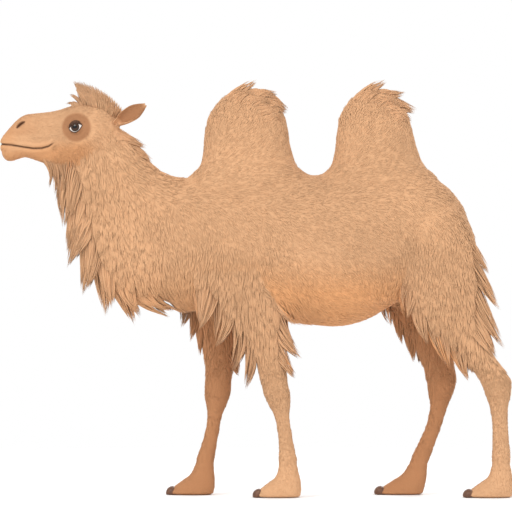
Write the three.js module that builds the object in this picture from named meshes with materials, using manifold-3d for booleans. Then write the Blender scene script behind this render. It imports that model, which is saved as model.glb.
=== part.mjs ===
// A two-humped camel, standing in mid stride, as a still life-size model in millimetres.
// The camel faces -X with its left side to -Y, and +Z is up. Every solid reaches out to the tips of the coat.
// The origin is on the floor, under the middle of the bounding box.
import * as THREE from "three";
import { mergeVertices } from "three/addons/utils/BufferGeometryUtils.js";
import Module from "manifold-3d";

const wasm = await Module();
wasm.setup();

// ---- driving dimensions ----
const GAP = 0.5; // clearance between neighbouring solids
const SLIVER = 0.08; // how far a needless corner may move when a cut solid is tidied
const WELD = 1e-3; // corners closer than this are one corner
const SIDES = { left: -1, right: 1 };

const EYE = { x: -966, y: 79, z: 1991, radius: 44 };
// The sections of the head and jaw are those of a head 0.61 m long, enlarged from the tip of the lips.
const HEAD_SIZE = { scale: 1.1, x: -1385, z: 1905 };
// The ear stands up and back from its root, and facing is where its hollow looks, as [x, y, z] with y
// outwards. below is the share of its length under its widest place.
const EAR = {
  root: [-755, 75, 2015],
  length: 208,
  below: 0.42,
  wide: 50,
  thick: 13,
  taper: 0.3,
  hollow: 1.2,
  along: [0.8, 0.34, 0.5],
  facing: [-0.35, 0.9, 0.05],
};
// A toenail: half its length, width and height, how far ahead of the pad and beside the cleft its middle
// lies, how far it dips, and its clearance from the floor.
const NAIL = { length: 34, wide: 25, high: 34, ahead: 24.5, beside: 36, rise: 12.2, dip: 0.25, floor: 2 };
const TOE_CLEFT = { wide: 17, deep: 92, high: 70, proud: 8, rise: 21 };
const FLOOR_BLOCK = 400; // side of the block that levels a toenail

const FORELEG_Y = 152; // middle of each foreleg, from the plane of symmetry
const HINDLEG_Y = 165;
const FETLOCK_Z = 165;

// Where the middle of each leg passes, as [height, x] from the top down: shoulder or hip, elbow or stifle,
// knee or hock, cannon, fetlock and sole.
const FORE_STANCE = {
  left: [[1420, -120], [1040, -5], [800, 62], [560, 112], [360, 150], [FETLOCK_Z, 170], [0, 172]],
  right: [[1420, -120], [1040, -165], [800, -190], [560, -208], [360, -238], [FETLOCK_Z, -282], [0, -300]],
};
const HIND_STANCE = {
  left: [[1520, 985], [1000, 1030], [800, 1160], [620, 1290], [400, 1314], [FETLOCK_Z, 1317], [0, 1317]],
  right: [[1520, 985], [1000, 894], [800, 958], [590, 1011], [400, 978], [FETLOCK_Z, 884], [0, 846]],
};

// ---- sections ----
// A body is swept through sections [backX, backZ, frontX, frontZ, halfWidth, y]: the two ends of its depth
// as seen from the side, with the back or upper outline first, then half its width, then its middle in y.
const TRUNK = [
  [-640, 1480, -640, 1200, 90, 0],
  [-600, 1560, -600, 1120, 150, 0],
  [-500, 1650, -500, 1050, 205, 0],
  [-360, 1706, -360, 1000, 240, 0],
  [-180, 1726, -180, 968, 266, 0],
  [0, 1740, 0, 958, 296, 0],
  [160, 1740, 160, 948, 322, 0],
  [320, 1736, 320, 926, 335, 0],
  [460, 1742, 460, 922, 334, 0],
  [600, 1752, 600, 962, 318, 0],
  [740, 1760, 740, 1036, 290, 0],
  [880, 1762, 880, 1108, 256, 0],
  [1000, 1708, 1000, 1176, 222, 0],
  [1104, 1604, 1104, 1236, 172, 0],
  [1164, 1476, 1164, 1296, 100, 0],
];
const NECK = [
  [-822, 1985, -975, 1876, 78, 0],
  [-722, 2002, -1070, 1798, 112, 0],
  [-672, 1944, -1084, 1690, 127, 0],
  [-618, 1868, -1048, 1560, 134, 0],
  [-556, 1798, -1012, 1400, 142, 0],
  [-488, 1742, -975, 1262, 158, 0],
  [-425, 1724, -885, 1142, 174, 0],
  [-360, 1716, -760, 1058, 188, 0],
  [-290, 1700, -620, 1018, 198, 0],
  [-220, 1640, -500, 1046, 198, 0],
];
// The upper head, from the lip to the poll, above the line of the mouth.
const HEAD = [
  [-1385, 1934, -1383, 1914, 20, 0],
  [-1374, 1949, -1372, 1903, 38, 0],
  [-1345, 1978, -1345, 1899, 50, 0],
  [-1306, 2024, -1306, 1899, 55, 0],
  [-1250, 2056, -1250, 1893, 57, 0],
  [-1160, 2066, -1160, 1882, 66, 0],
  [-1090, 2080, -1085, 1868, 88, 0],
  [-1025, 2106, -1010, 1852, 108, 0],
  [-960, 2120, -940, 1842, 104, 0],
  [-885, 2110, -885, 1862, 96, 0],
  [-820, 2074, -838, 1905, 84, 0],
  [-775, 2010, -810, 1950, 52, 0],
];
// The lower jaw, from the lower lip to the angle of the jaw.
const JAW = [
  [-1376, 1898, -1374, 1846, 24, 0],
  [-1360, 1903, -1354, 1820, 37, 0],
  [-1320, 1904, -1314, 1820, 44, 0],
  [-1262, 1900, -1262, 1832, 43, 0],
  [-1180, 1895, -1180, 1810, 48, 0],
  [-1090, 1890, -1090, 1786, 58, 0],
  [-1000, 1890, -1000, 1772, 68, 0],
  [-930, 1895, -930, 1780, 68, 0],
  [-885, 1905, -885, 1826, 50, 0],
];
const FRONT_HUMP = [
  [-300, 1640, 210, 1640, 186, 0],
  [-378, 1730, 298, 1732, 196, 0],
  [-304, 1808, 216, 1812, 170, 0],
  [-294, 1880, 196, 1880, 154, 0],
  [-288, 1960, 190, 1960, 140, 0],
  [-270, 2045, 172, 2045, 122, 0],
  [-232, 2124, 138, 2112, 98, 0],
  [-160, 2192, 92, 2172, 66, 0],
  [-84, 2226, 36, 2208, 30, 0],
];
const REAR_HUMP = [
  [420, 1640, 920, 1640, 182, 0],
  [344, 1736, 980, 1738, 190, 0],
  [410, 1812, 900, 1812, 162, 0],
  [428, 1880, 862, 1880, 146, 0],
  [432, 1960, 852, 1960, 132, 0],
  [450, 2045, 832, 2045, 115, 0],
  [484, 2124, 796, 2112, 92, 0],
  [548, 2192, 748, 2172, 62, 0],
  [604, 2226, 694, 2208, 28, 0],
];
// The mop on the crown, from the poll up and forwards.
const CREST = [
  [-850, 2030, -768, 2020, 42, 0],
  [-904, 2068, -742, 2072, 62, 0],
  [-944, 2094, -782, 2134, 66, 0],
  [-974, 2130, -842, 2180, 58, 0],
  [-984, 2166, -900, 2216, 42, 0],
  [-976, 2204, -944, 2232, 16, 0],
];
const TAIL = [
  [1105, 1572, 1085, 1512, 30, 0],
  [1158, 1512, 1112, 1474, 34, 0],
  [1200, 1426, 1140, 1410, 34, 0],
  [1220, 1320, 1152, 1315, 36, 0],
  [1230, 1220, 1156, 1218, 42, 0],
  [1230, 1140, 1162, 1138, 36, 0],
  [1218, 1080, 1190, 1078, 12, 0],
];

// Legs are cut level. Each row is [height, behind, ahead, halfWidth, inward]: how far the outline lies behind
// and ahead of the leg's middle, half its width, and how far the middle moves towards the plane of symmetry.
const SHIN = [
  [830, 34, 40, 28, 4],
  [790, 66, 74, 56, 4],
  [700, 72, 76, 60, 2],
  [625, 70, 78, 61, 0],
  [565, 74, 76, 62, 0],
  [505, 68, 66, 54, 0],
  [440, 49, 46, 41, 0],
  [350, 47, 42, 37, 0],
  [260, 52, 46, 41, 0],
  [195, 61, 57, 50, 0],
  [125, 62, 62, 56, 0],
];
const SLEEVE = [
  [1470, 90, 90, 60, 20],
  [1390, 165, 160, 112, -8],
  [1300, 196, 200, 134, -14],
  [1190, 200, 236, 138, -10],
  [1090, 190, 262, 134, 0],
  [990, 172, 262, 122, 0],
  [890, 140, 210, 104, 0],
  [800, 108, 158, 88, 0],
  [720, 86, 108, 72, 0],
  [672, 40, 46, 36, 0],
];
const HOCK = [
  [880, 40, 44, 28, 6],
  [835, 86, 92, 60, 6],
  [760, 84, 92, 60, 4],
  [690, 80, 82, 58, 2],
  [630, 86, 86, 58, 0],
  [560, 70, 80, 52, 0],
  [480, 49, 60, 42, 0],
  [380, 47, 52, 37, 0],
  [270, 53, 54, 41, 0],
  [195, 60, 60, 49, 0],
  [125, 62, 64, 54, 0],
];
const THIGH = [
  [1560, 90, 110, 60, 24],
  [1480, 165, 190, 104, 8],
  [1380, 205, 235, 120, 4],
  [1250, 215, 250, 124, 0],
  [1120, 215, 250, 120, 0],
  [1000, 200, 240, 110, 0],
  [900, 160, 190, 96, 0],
  [810, 124, 140, 82, 0],
  [745, 100, 106, 68, 0],
  [700, 50, 56, 40, 0],
];
const FORE_FOOT = [
  [150, 60, 60, 54, 0],
  [112, 68, 70, 60, 0],
  [82, 72, 108, 72, 0],
  [50, 74, 150, 86, 0],
  [24, 70, 176, 94, 0],
  [8, 66, 182, 94, 0],
  [0, 60, 174, 88, 0],
];
const HIND_FOOT = [
  [150, 60, 62, 53, 0],
  [112, 66, 74, 58, 0],
  [82, 68, 116, 68, 0],
  [50, 66, 160, 80, 0],
  [24, 62, 190, 87, 0],
  [8, 60, 196, 87, 0],
  [0, 54, 188, 81, 0],
];


// ---- locks of long coat ----
// Angles round a body start at its back outline, and angles in the side view at the rear, half PI upwards.
const BACK = 0;
const OUTER = Math.PI / 2;
const FRONT = Math.PI;
const DOWN = -Math.PI / 2;

// Evenly spaced values from first to last.
const spaced = (first, last, count) =>
  Array.from({ length: count }, (_, i) => first + ((last - first) * i) / Math.max(count - 1, 1));
const beside = (angle, step) => [angle, angle - step, angle + step];

// A tier of locks: its places along the body's sections and its angles round it, its first and last length,
// the directions in which its first and last lock fall, its flare off the body as a share of the length, and
// half the width and thickness. A tier with a turn instead of a fall follows the body's front outline, turned
// by that much.
const NECK_LOCKS = [
  {
    places: spaced(1.1, 8.1, 7),
    angles: beside(FRONT, 0.75),
    long: [127, 183],
    turn: -0.12,
    flare: 0.22,
    wide: 40,
    thick: 26,
  },
  { places: [0.9], angles: [BACK], long: [62, 62], fall: [-0.85, -0.85], flare: 0.22, wide: 30, thick: 14 },
];
const HUMP_LOCK = { flare: 0.1, wide: 26, thick: 18 };
const HUMP_LOCKS = [
  { places: [7.4], angles: [OUTER, -OUTER], long: [60, 60], fall: [0.9, 0.9], ...HUMP_LOCK },
  { places: [7.6, 6.6, 5.6], angles: [FRONT], long: [56, 46], fall: [0.7, -0.4], ...HUMP_LOCK },
];
const CREST_LOCK = { flare: 0.1, wide: 20, thick: 13 };
const CREST_LOCKS = [
  { places: [2.6, 4.2], angles: beside(BACK, 0.9), long: [58, 58], fall: [3, 2.6], ...CREST_LOCK },
];
const TAIL_LOCKS = [
  {
    places: [4.8],
    angles: [BACK, OUTER, -OUTER],
    long: [88, 88],
    fall: [DOWN, DOWN],
    flare: 0.05,
    wide: 16,
    thick: 12,
  },
];
const legLocks = (ahead, behind, outer) => [
  { angles: [FRONT], flare: 0.22, wide: 30, thick: 16, ...ahead },
  { angles: [BACK], flare: 0.22, wide: 30, thick: 16, ...behind },
  { angles: beside(OUTER, 0.75), flare: 0.12, wide: 30, thick: 16, ...outer },
];
const FORE_LOCKS = legLocks(
  { places: [3.9, 5, 6.1, 7.2], long: [135, 135], fall: [DOWN + 0.12, DOWN + 0.12] },
  { places: [3.2, 4.6, 6, 7.3], long: [120, 120], fall: [DOWN + 0.28, DOWN + 0.28] },
  { places: [5.6, 7], long: [130, 130], fall: [DOWN, DOWN] },
);
const HIND_LOCKS = legLocks(
  { places: [4.2, 5.3, 6.4, 7.4], long: [140, 140], fall: [DOWN + 0.3, DOWN + 0.3] },
  { places: [1.6, 3, 4.4, 5.8], long: [140, 140], fall: [DOWN + 0.34, DOWN + 0.34] },
  { places: [5.8, 7], long: [130, 130], fall: [DOWN, DOWN] },
);
// How full a lock is, and how deep in the body and how far up its own length it is rooted.
const LOCK = { sides: 4, belly: 1.6, sunk: 0.9, tucked: 0.1 };

const LEGS = [
  {
    called: "foreleg",
    shank: SHIN,
    upper: SLEEVE,
    foot: FORE_FOOT,
    stance: FORE_STANCE,
    y: FORELEG_Y,
    locks: FORE_LOCKS,
  },
  {
    called: "hindleg",
    shank: HOCK,
    upper: THIGH,
    foot: HIND_FOOT,
    stance: HIND_STANCE,
    y: HINDLEG_Y,
    locks: HIND_LOCKS,
  },
];

// ---- shapes ----
const rounded = (value, power) => Math.sign(value) * Math.abs(value) ** (2 / power);
const between = ([first, last], share) => first + (last - first) * share;

// Values between rows, which pass smoothly through each one. Place 0 is the first row, 1 the second.
function smoothly(rows, places = rows.map((_, i) => i)) {
  const width = rows[0].length;
  const curve = new THREE.CubicInterpolant(places, rows.flat(), width, new Float64Array(width));
  return (place) => Array.from(curve.evaluate(place));
}

// A closed body through sections. egg above 0 makes it wider towards its back, and power above 2 squarer.
function sweep(sections, { around, along, egg = 0, power = 2 }) {
  const at = smoothly(sections);
  const geometry = new THREE.CylinderGeometry(1, 1, 1, around, along);
  const position = geometry.getAttribute("position");
  for (let i = 0; i < position.count; i++) {
    const place = (0.5 - position.getY(i)) * (sections.length - 1);
    const [backX, backZ, frontX, frontZ, half, y] = at(place);
    const across = rounded(position.getX(i), power);
    const deep = rounded(position.getZ(i), power);
    position.setXYZ(
      i,
      (backX + frontX) / 2 + (deep * (backX - frontX)) / 2,
      y + across * half * (1 + egg * deep),
      (backZ + frontZ) / 2 + (deep * (backZ - frontZ)) / 2,
    );
  }
  return geometry;
}

// The sections of a leg, from its rows and from where its middle passes.
function legSections(rows, stance, middleY, side) {
  const upwards = [...stance].reverse();
  const middleX = smoothly(upwards.map(([, x]) => [x]), upwards.map(([z]) => z));
  return rows.map(([z, behind, ahead, half, inward]) => {
    const [x] = middleX(z);
    return [x + behind, z, x - ahead, z, half, side * (middleY - inward)];
  });
}

// A lock of long coat: a flattened cone from a root inside the body to its tip, thick towards outward.
function lock(root, tip, wide, thick, outward) {
  const geometry = new THREE.ConeGeometry(1, 1, LOCK.sides, 2);
  const position = geometry.getAttribute("position");
  const run = tip.clone().sub(root);
  const side = outward.clone().cross(run).normalize();
  const through = side.clone().cross(run).normalize();
  const point = new THREE.Vector3();
  for (let i = 0; i < position.count; i++) {
    const t = position.getY(i) + 0.5;
    const full = 1 + t * (1 - t) * LOCK.belly;
    point.copy(root).addScaledVector(run, t);
    point.addScaledVector(side, position.getX(i) * wide * full);
    point.addScaledVector(through, position.getZ(i) * thick * full);
    position.setXYZ(i, point.x, point.y, point.z);
  }
  return geometry;
}

// The direction of the front outline at a place, as an angle in the side view.
function frontRun(at, place, last) {
  const reach = 0.2;
  const [, , x0, z0] = at(Math.max(place - reach, 0));
  const [, , x1, z1] = at(Math.min(place + reach, last));
  return Math.atan2(z1 - z0, x1 - x0);
}

// A tier of locks on a swept body. Every second one round it is staggered by half a step.
function locksOn(sections, { places, angles, long, fall, turn, flare, wide, thick }) {
  const at = smoothly(sections);
  const last = sections.length - 1;
  const step = places.length > 1 ? places[1] - places[0] : 0;
  return places.flatMap((place, row) =>
    angles.map((angle, column) => {
      const share = row / Math.max(places.length - 1, 1);
      const staggered = Math.min(place + (column % 2) * step * 0.5, last);
      const [backX, backZ, frontX, frontZ, half, y] = at(staggered);
      const out = new THREE.Vector3(
        (Math.cos(angle) * (backX - frontX)) / 2,
        Math.sin(angle) * half,
        (Math.cos(angle) * (backZ - frontZ)) / 2,
      );
      const surface = new THREE.Vector3((backX + frontX) / 2, y, (backZ + frontZ) / 2).add(out);
      const outward = out.normalize();
      const heading = fall ? between(fall, share) : frontRun(at, staggered, last) + turn;
      const falling = new THREE.Vector3(Math.cos(heading), 0, Math.sin(heading));
      const length = between(long, share);
      const root = surface.clone().addScaledVector(outward, -LOCK.sunk * thick);
      root.addScaledVector(falling, -LOCK.tucked * length);
      const tip = surface.clone().addScaledVector(falling, length).addScaledVector(outward, flare * length);
      return lock(root, tip, wide, thick, outward);
    }),
  );
}

// ---- solids ----
function solid(geometry) {
  const bare = geometry.clone();
  bare.deleteAttribute("normal");
  bare.deleteAttribute("uv");
  const merged = mergeVertices(bare, WELD);
  return new wasm.Manifold(
    new wasm.Mesh({
      numProp: 3,
      vertProperties: new Float32Array(merged.getAttribute("position").array),
      triVerts: new Uint32Array(merged.index.array),
    }),
  );
}

function geometryOf(made) {
  const mesh = made.getMesh();
  return new THREE.BufferGeometry()
    .setAttribute("position", new THREE.BufferAttribute(new Float32Array(mesh.vertProperties), 3))
    .setIndex(new THREE.BufferAttribute(new Uint32Array(mesh.triVerts), 1));
}

// A swept body with its tiers of locks, as one solid.
function haired(sections, resolution, tiers) {
  const geometries = [sweep(sections, resolution), ...tiers.flatMap((tier) => locksOn(sections, tier))];
  return geometries.map(solid).reduce((all, one) => all.add(one));
}

// The same solid, a little larger on every side, to cut a neighbour with clearance.
function grown(made) {
  const geometry = geometryOf(made);
  geometry.computeVertexNormals();
  const position = geometry.getAttribute("position");
  const normal = geometry.getAttribute("normal");
  for (let i = 0; i < position.count; i++) {
    position.setXYZ(
      i,
      position.getX(i) + GAP * normal.getX(i),
      position.getY(i) + GAP * normal.getY(i),
      position.getZ(i) + GAP * normal.getZ(i),
    );
  }
  return solid(geometry);
}

// What is left of a solid once its neighbours are cut out of it: its biggest body, without slivers.
function clearOf(made, ...neighbours) {
  const bodies = neighbours.reduce((left, neighbour) => left.subtract(grown(neighbour)), made).decompose();
  return bodies.reduce((most, one) => (one.volume() > most.volume() ? one : most)).simplify(SLIVER);
}

// ---- the camel's parts ----
// Sections of the head at its full size.
function enlarged(sections) {
  const { scale, x, z } = HEAD_SIZE;
  return sections.map(([backX, backZ, frontX, frontZ, half, y]) => [
    x + (backX - x) * scale,
    z + (backZ - z) * scale,
    x + (frontX - x) * scale,
    z + (frontZ - z) * scale,
    half * scale,
    y * scale,
  ]);
}

function eye(side) {
  return solid(new THREE.SphereGeometry(EYE.radius, 12, 7).translate(EYE.x, side * EYE.y, EYE.z));
}

// A leaf that narrows to its tip, cupped round its length.
function ear(side) {
  const outwards = ([x, y, z]) => new THREE.Vector3(x, side * y, z);
  const along = outwards(EAR.along).normalize();
  const facing = outwards(EAR.facing);
  facing.addScaledVector(along, -facing.dot(along)).normalize();
  const across = along.clone().cross(facing);
  const widest = outwards(EAR.root).addScaledVector(along, EAR.length * EAR.below);
  const geometry = new THREE.SphereGeometry(1, 10, 7);
  const position = geometry.getAttribute("position");
  for (let i = 0; i < position.count; i++) {
    const y = position.getY(i);
    const x = position.getX(i) * (1 - EAR.taper * y);
    const z = position.getZ(i) + (x * x - 0.5) * (1 - y * y) * EAR.hollow;
    const point = widest.clone().addScaledVector(along, y * EAR.length * (1 - EAR.below));
    point.addScaledVector(across, x * EAR.wide).addScaledVector(facing, z * EAR.thick);
    position.setXYZ(i, point.x, point.y, point.z);
  }
  return solid(geometry);
}

// The foremost x of a foot's pad at its broadest, and its middle in y.
function toeLine(sections) {
  const [, , frontX, , , y] = sections[sections.length - 2];
  return [frontX, y];
}

// A broad two-toed pad, flat underneath, with the cleft between the toes cut from its front edge.
function pad(sections) {
  const [frontX, y] = toeLine(sections);
  const wedge = new THREE.CylinderGeometry(1, 1, TOE_CLEFT.high, 3).rotateX(Math.PI / 2).rotateZ(Math.PI / 2);
  wedge.scale(TOE_CLEFT.deep / 1.5, TOE_CLEFT.wide / Math.sqrt(3), 1);
  wedge.translate(frontX + TOE_CLEFT.deep / 3 - TOE_CLEFT.proud, y, TOE_CLEFT.rise);
  return solid(sweep(sections, { around: 10, along: 6, power: 2.5 })).subtract(solid(wedge));
}

// A horn nail over the tip of one toe, clear of the floor.
function nail(sections, toe) {
  const [frontX, y] = toeLine(sections);
  const shell = new THREE.SphereGeometry(1, 8, 4).scale(NAIL.length, NAIL.wide, NAIL.high);
  shell.rotateY(-NAIL.dip).translate(frontX + NAIL.ahead, y + toe * NAIL.beside, NAIL.rise);
  const floor = new THREE.BoxGeometry(FLOOR_BLOCK, FLOOR_BLOCK, FLOOR_BLOCK);
  floor.translate(frontX, y, NAIL.floor - FLOOR_BLOCK / 2);
  return solid(shell).subtract(solid(floor));
}

// ---- the camel ----
// Each part is cut by its neighbours that come before it, so that no two overlap.
const FINISH = {
  hide: { color: 0xd6a57b, roughness: 0.9, metalness: 0 },
  horn: { color: 0x5f3b20, roughness: 0.5, metalness: 0 },
  eyeball: { color: 0x1b1423, roughness: 0.08, metalness: 0 },
};
const camel = new THREE.Group();

function add(name, made, finish = FINISH.hide) {
  const mesh = new THREE.Mesh(geometryOf(made), new THREE.MeshStandardMaterial(finish));
  mesh.name = name;
  camel.add(mesh);
  return made;
}

const eyes = Object.entries(SIDES).map(([name, side]) => add(`eye_${name}`, eye(side), FINISH.eyeball));
const headBody = solid(sweep(enlarged(HEAD), { around: 14, along: 11, egg: 0.04, power: 2.3 }));
const jawBody = solid(sweep(enlarged(JAW), { around: 10, along: 8, power: 2.4 }));
add("head", clearOf(headBody, ...eyes));
add("lower_jaw", clearOf(jawBody, headBody));
const neckBody = haired(NECK, { around: 14, along: 9, egg: 0.25 }, NECK_LOCKS);
const earOf = (side) => clearOf(ear(side), headBody, neckBody);
const ears = Object.entries(SIDES).map(([name, side]) => add(`ear_${name}`, earOf(side)));

const trunk = add("trunk", solid(sweep(TRUNK, { around: 16, along: 14, egg: -0.12, power: 2.2 })));
const humpForm = { around: 12, along: 8 };
const frontHump = add("hump_front", clearOf(haired(FRONT_HUMP, humpForm, HUMP_LOCKS), trunk));
add("hump_rear", clearOf(haired(REAR_HUMP, humpForm, HUMP_LOCKS), trunk));

const uppers = [];
for (const leg of LEGS) {
  for (const [name, side] of Object.entries(SIDES)) {
    const sections = (rows) => legSections(rows, leg.stance[name], leg.y, side);
    const outerTo = (tier) => ({ ...tier, angles: tier.angles.map((angle) => side * angle) });
    const nails = { inner: nail(sections(leg.foot), -side), outer: nail(sections(leg.foot), side) };
    const foot = clearOf(pad(sections(leg.foot)), nails.inner, nails.outer);
    const shank = solid(sweep(sections(leg.shank), { around: 8, along: 10, power: 2.2 }));
    const upper = haired(sections(leg.upper), { around: 10, along: 8 }, leg.locks.map(outerTo));
    add(`${leg.called}_${name}_nail_inner`, nails.inner, FINISH.horn);
    add(`${leg.called}_${name}_nail_outer`, nails.outer, FINISH.horn);
    add(`${leg.called}_${name}_foot`, foot);
    add(`${leg.called}_${name}_lower`, clearOf(shank, foot));
    uppers.push(add(`${leg.called}_${name}_upper`, clearOf(upper, shank, trunk)));
  }
}

const neck = add("neck", clearOf(neckBody, headBody, jawBody, trunk, frontHump, ...uppers));
add("head_crest", clearOf(haired(CREST, { around: 10, along: 5 }, CREST_LOCKS), headBody, ...ears, neck));
add("tail", clearOf(haired(TAIL, { around: 8, along: 8 }, TAIL_LOCKS), trunk, ...uppers));

export default camel;
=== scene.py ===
"""A life-size two-humped camel in mid stride: skin, eyes, lashes, toenails, coat and stage."""

import math
from collections import namedtuple

import bmesh
import bpy
import numpy as np
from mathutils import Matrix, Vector
from mathutils.bvhtree import BVHTree
from mathutils.kdtree import KDTree


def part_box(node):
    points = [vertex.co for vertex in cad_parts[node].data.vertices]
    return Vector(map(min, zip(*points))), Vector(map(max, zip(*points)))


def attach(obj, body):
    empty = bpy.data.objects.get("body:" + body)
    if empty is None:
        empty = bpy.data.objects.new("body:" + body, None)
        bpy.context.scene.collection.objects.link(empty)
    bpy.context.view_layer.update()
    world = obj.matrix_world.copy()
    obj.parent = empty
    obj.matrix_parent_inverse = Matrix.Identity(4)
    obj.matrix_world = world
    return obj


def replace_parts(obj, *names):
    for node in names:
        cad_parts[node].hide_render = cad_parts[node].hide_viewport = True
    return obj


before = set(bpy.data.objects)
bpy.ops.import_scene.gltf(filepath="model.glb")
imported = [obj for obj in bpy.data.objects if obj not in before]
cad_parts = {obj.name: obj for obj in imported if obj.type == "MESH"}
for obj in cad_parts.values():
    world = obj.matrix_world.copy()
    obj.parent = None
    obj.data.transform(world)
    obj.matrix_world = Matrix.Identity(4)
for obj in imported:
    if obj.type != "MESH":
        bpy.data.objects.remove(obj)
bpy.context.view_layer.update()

bl_info = {
    "name": "Two-humped Camel",
    "version": (1, 0, 0),
    "blender": (4, 5, 0),
    "location": "3D View > Sidebar > Camel",
    "description": "Builds a life-size two-humped camel with its winter coat, and a plain stage",
    "category": "Add Mesh",
}

MM = 0.001
BODY = "root"
SIDES = {"left": -1, "right": 1}

# ---- the flesh, in millimetres ----
# Rows of a swept body: the back outline's x and z, the front outline's x and z, half the width, the
# middle's y, how much wider the back is than the front, and how square it is (2 is an ellipse).
TRUNK = [
    (-640, 1450, -640, 1232, 66, 0, 0, 2.1),
    (-600, 1540, -600, 1135, 135, 0, 0, 2.1),
    (-500, 1640, -500, 1068, 190, 0, 0, 2.2),
    (-360, 1706, -360, 1018, 222, 0, -0.08, 2.2),
    (-180, 1715, -180, 984, 248, 0, -0.1, 2.2),
    (0, 1726, 0, 970, 278, 0, -0.12, 2.2),
    (160, 1730, 160, 954, 304, 0, -0.12, 2.2),
    (320, 1732, 320, 928, 317, 0, -0.12, 2.2),
    (460, 1736, 460, 924, 316, 0, -0.12, 2.2),
    (600, 1742, 600, 962, 300, 0, -0.1, 2.2),
    (740, 1750, 740, 1038, 272, 0, -0.08, 2.2),
    (880, 1748, 880, 1118, 240, 0, -0.06, 2.2),
    (1000, 1694, 1000, 1190, 206, 0, 0, 2.2),
    (1098, 1590, 1098, 1250, 156, 0, 0, 2.1),
    (1150, 1470, 1150, 1306, 80, 0, 0, 2),
]
NECK = [
    (-838, 1980, -945, 1878, 56, 0, 0, 2),
    (-740, 2000, -1012, 1800, 88, 0, 0.1, 2),
    (-684, 1944, -1034, 1692, 101, 0, 0.15, 2),
    (-624, 1864, -1006, 1562, 109, 0, 0.2, 2),
    (-566, 1798, -968, 1410, 118, 0, 0.2, 2),
    (-500, 1746, -914, 1280, 132, 0, 0.15, 2),
    (-432, 1722, -830, 1172, 152, 0, 0.1, 2),
    (-364, 1712, -716, 1092, 170, 0, 0, 2.1),
    (-288, 1684, -600, 1058, 178, 0, 0, 2.1),
    (-220, 1616, -500, 1078, 176, 0, 0, 2.1),
]
FRONT_HUMP = [
    (-350, 1590, 262, 1590, 196, 0, 0, 2.1),
    (-366, 1716, 288, 1722, 186, 0, 0, 2.1),
    (-308, 1772, 226, 1776, 170, 0, 0, 2.1),
    (-290, 1830, 202, 1836, 156, 0, 0, 2.1),
    (-284, 1890, 186, 1890, 144, 0, 0, 2.1),
    (-278, 1960, 176, 1960, 130, 0, 0, 2.1),
    (-260, 2040, 158, 2040, 112, 0, 0, 2.1),
    (-222, 2108, 124, 2104, 86, 0, 0, 2),
    (-160, 2172, 80, 2160, 56, 0, 0, 2),
    (-92, 2204, 30, 2190, 22, 0, 0, 2),
]
REAR_HUMP = [
    (366, 1590, 930, 1590, 188, 0, 0, 2.1),
    (352, 1722, 972, 1722, 176, 0, 0, 2.1),
    (402, 1776, 916, 1776, 160, 0, 0, 2.1),
    (420, 1836, 886, 1836, 148, 0, 0, 2.1),
    (430, 1890, 868, 1890, 136, 0, 0, 2.1),
    (436, 1960, 850, 1960, 122, 0, 0, 2.1),
    (451, 2040, 826, 2040, 104, 0, 0, 2.1),
    (484, 2110, 786, 2104, 80, 0, 0, 2),
    (540, 2174, 736, 2160, 52, 0, 0, 2),
    (596, 2204, 690, 2190, 20, 0, 0, 2),
]
HEAD = [
    (-1379, 1926, -1379, 1885, 13, 0, 0, 2),
    (-1371, 1942, -1371, 1848, 29, 0, -0.08, 2.2),
    (-1356, 1960, -1354, 1827, 41, 0, -0.12, 2.4),
    (-1332, 1987, -1328, 1822, 47, 0, -0.12, 2.5),
    (-1300, 2021, -1295, 1831, 50, 0, -0.1, 2.5),
    (-1262, 2045, -1258, 1839, 51, 0, -0.06, 2.4),
    (-1210, 2053, -1205, 1824, 54, 0, -0.02, 2.3),
    (-1160, 2058, -1155, 1807, 60, 0, 0.04, 2.2),
    (-1105, 2067, -1100, 1793, 71, 0, 0.12, 2.2),
    (-1055, 2082, -1050, 1784, 85, 0, 0.2, 2.2),
    (-1015, 2095, -1005, 1783, 93, 0, 0.24, 2.2),
    (-975, 2104, -955, 1785, 93, 0, 0.22, 2.2),
    (-925, 2103, -905, 1801, 88, 0, 0.16, 2.1),
    (-875, 2091, -868, 1842, 80, 0, 0.1, 2.1),
    (-832, 2064, -838, 1896, 68, 0, 0, 2),
    (-795, 2014, -812, 1948, 40, 0, 0, 2),
]
TAIL = [
    (1092, 1560, 1074, 1504, 24, 0, 0, 2),
    (1142, 1498, 1108, 1464, 22, 0, 0, 2),
    (1180, 1420, 1148, 1408, 19, 0, 0, 2),
    (1200, 1320, 1172, 1316, 17, 0, 0, 2),
    (1206, 1220, 1182, 1218, 14, 0, 0, 2),
    (1204, 1150, 1188, 1148, 9, 0, 0, 2),
]
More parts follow.
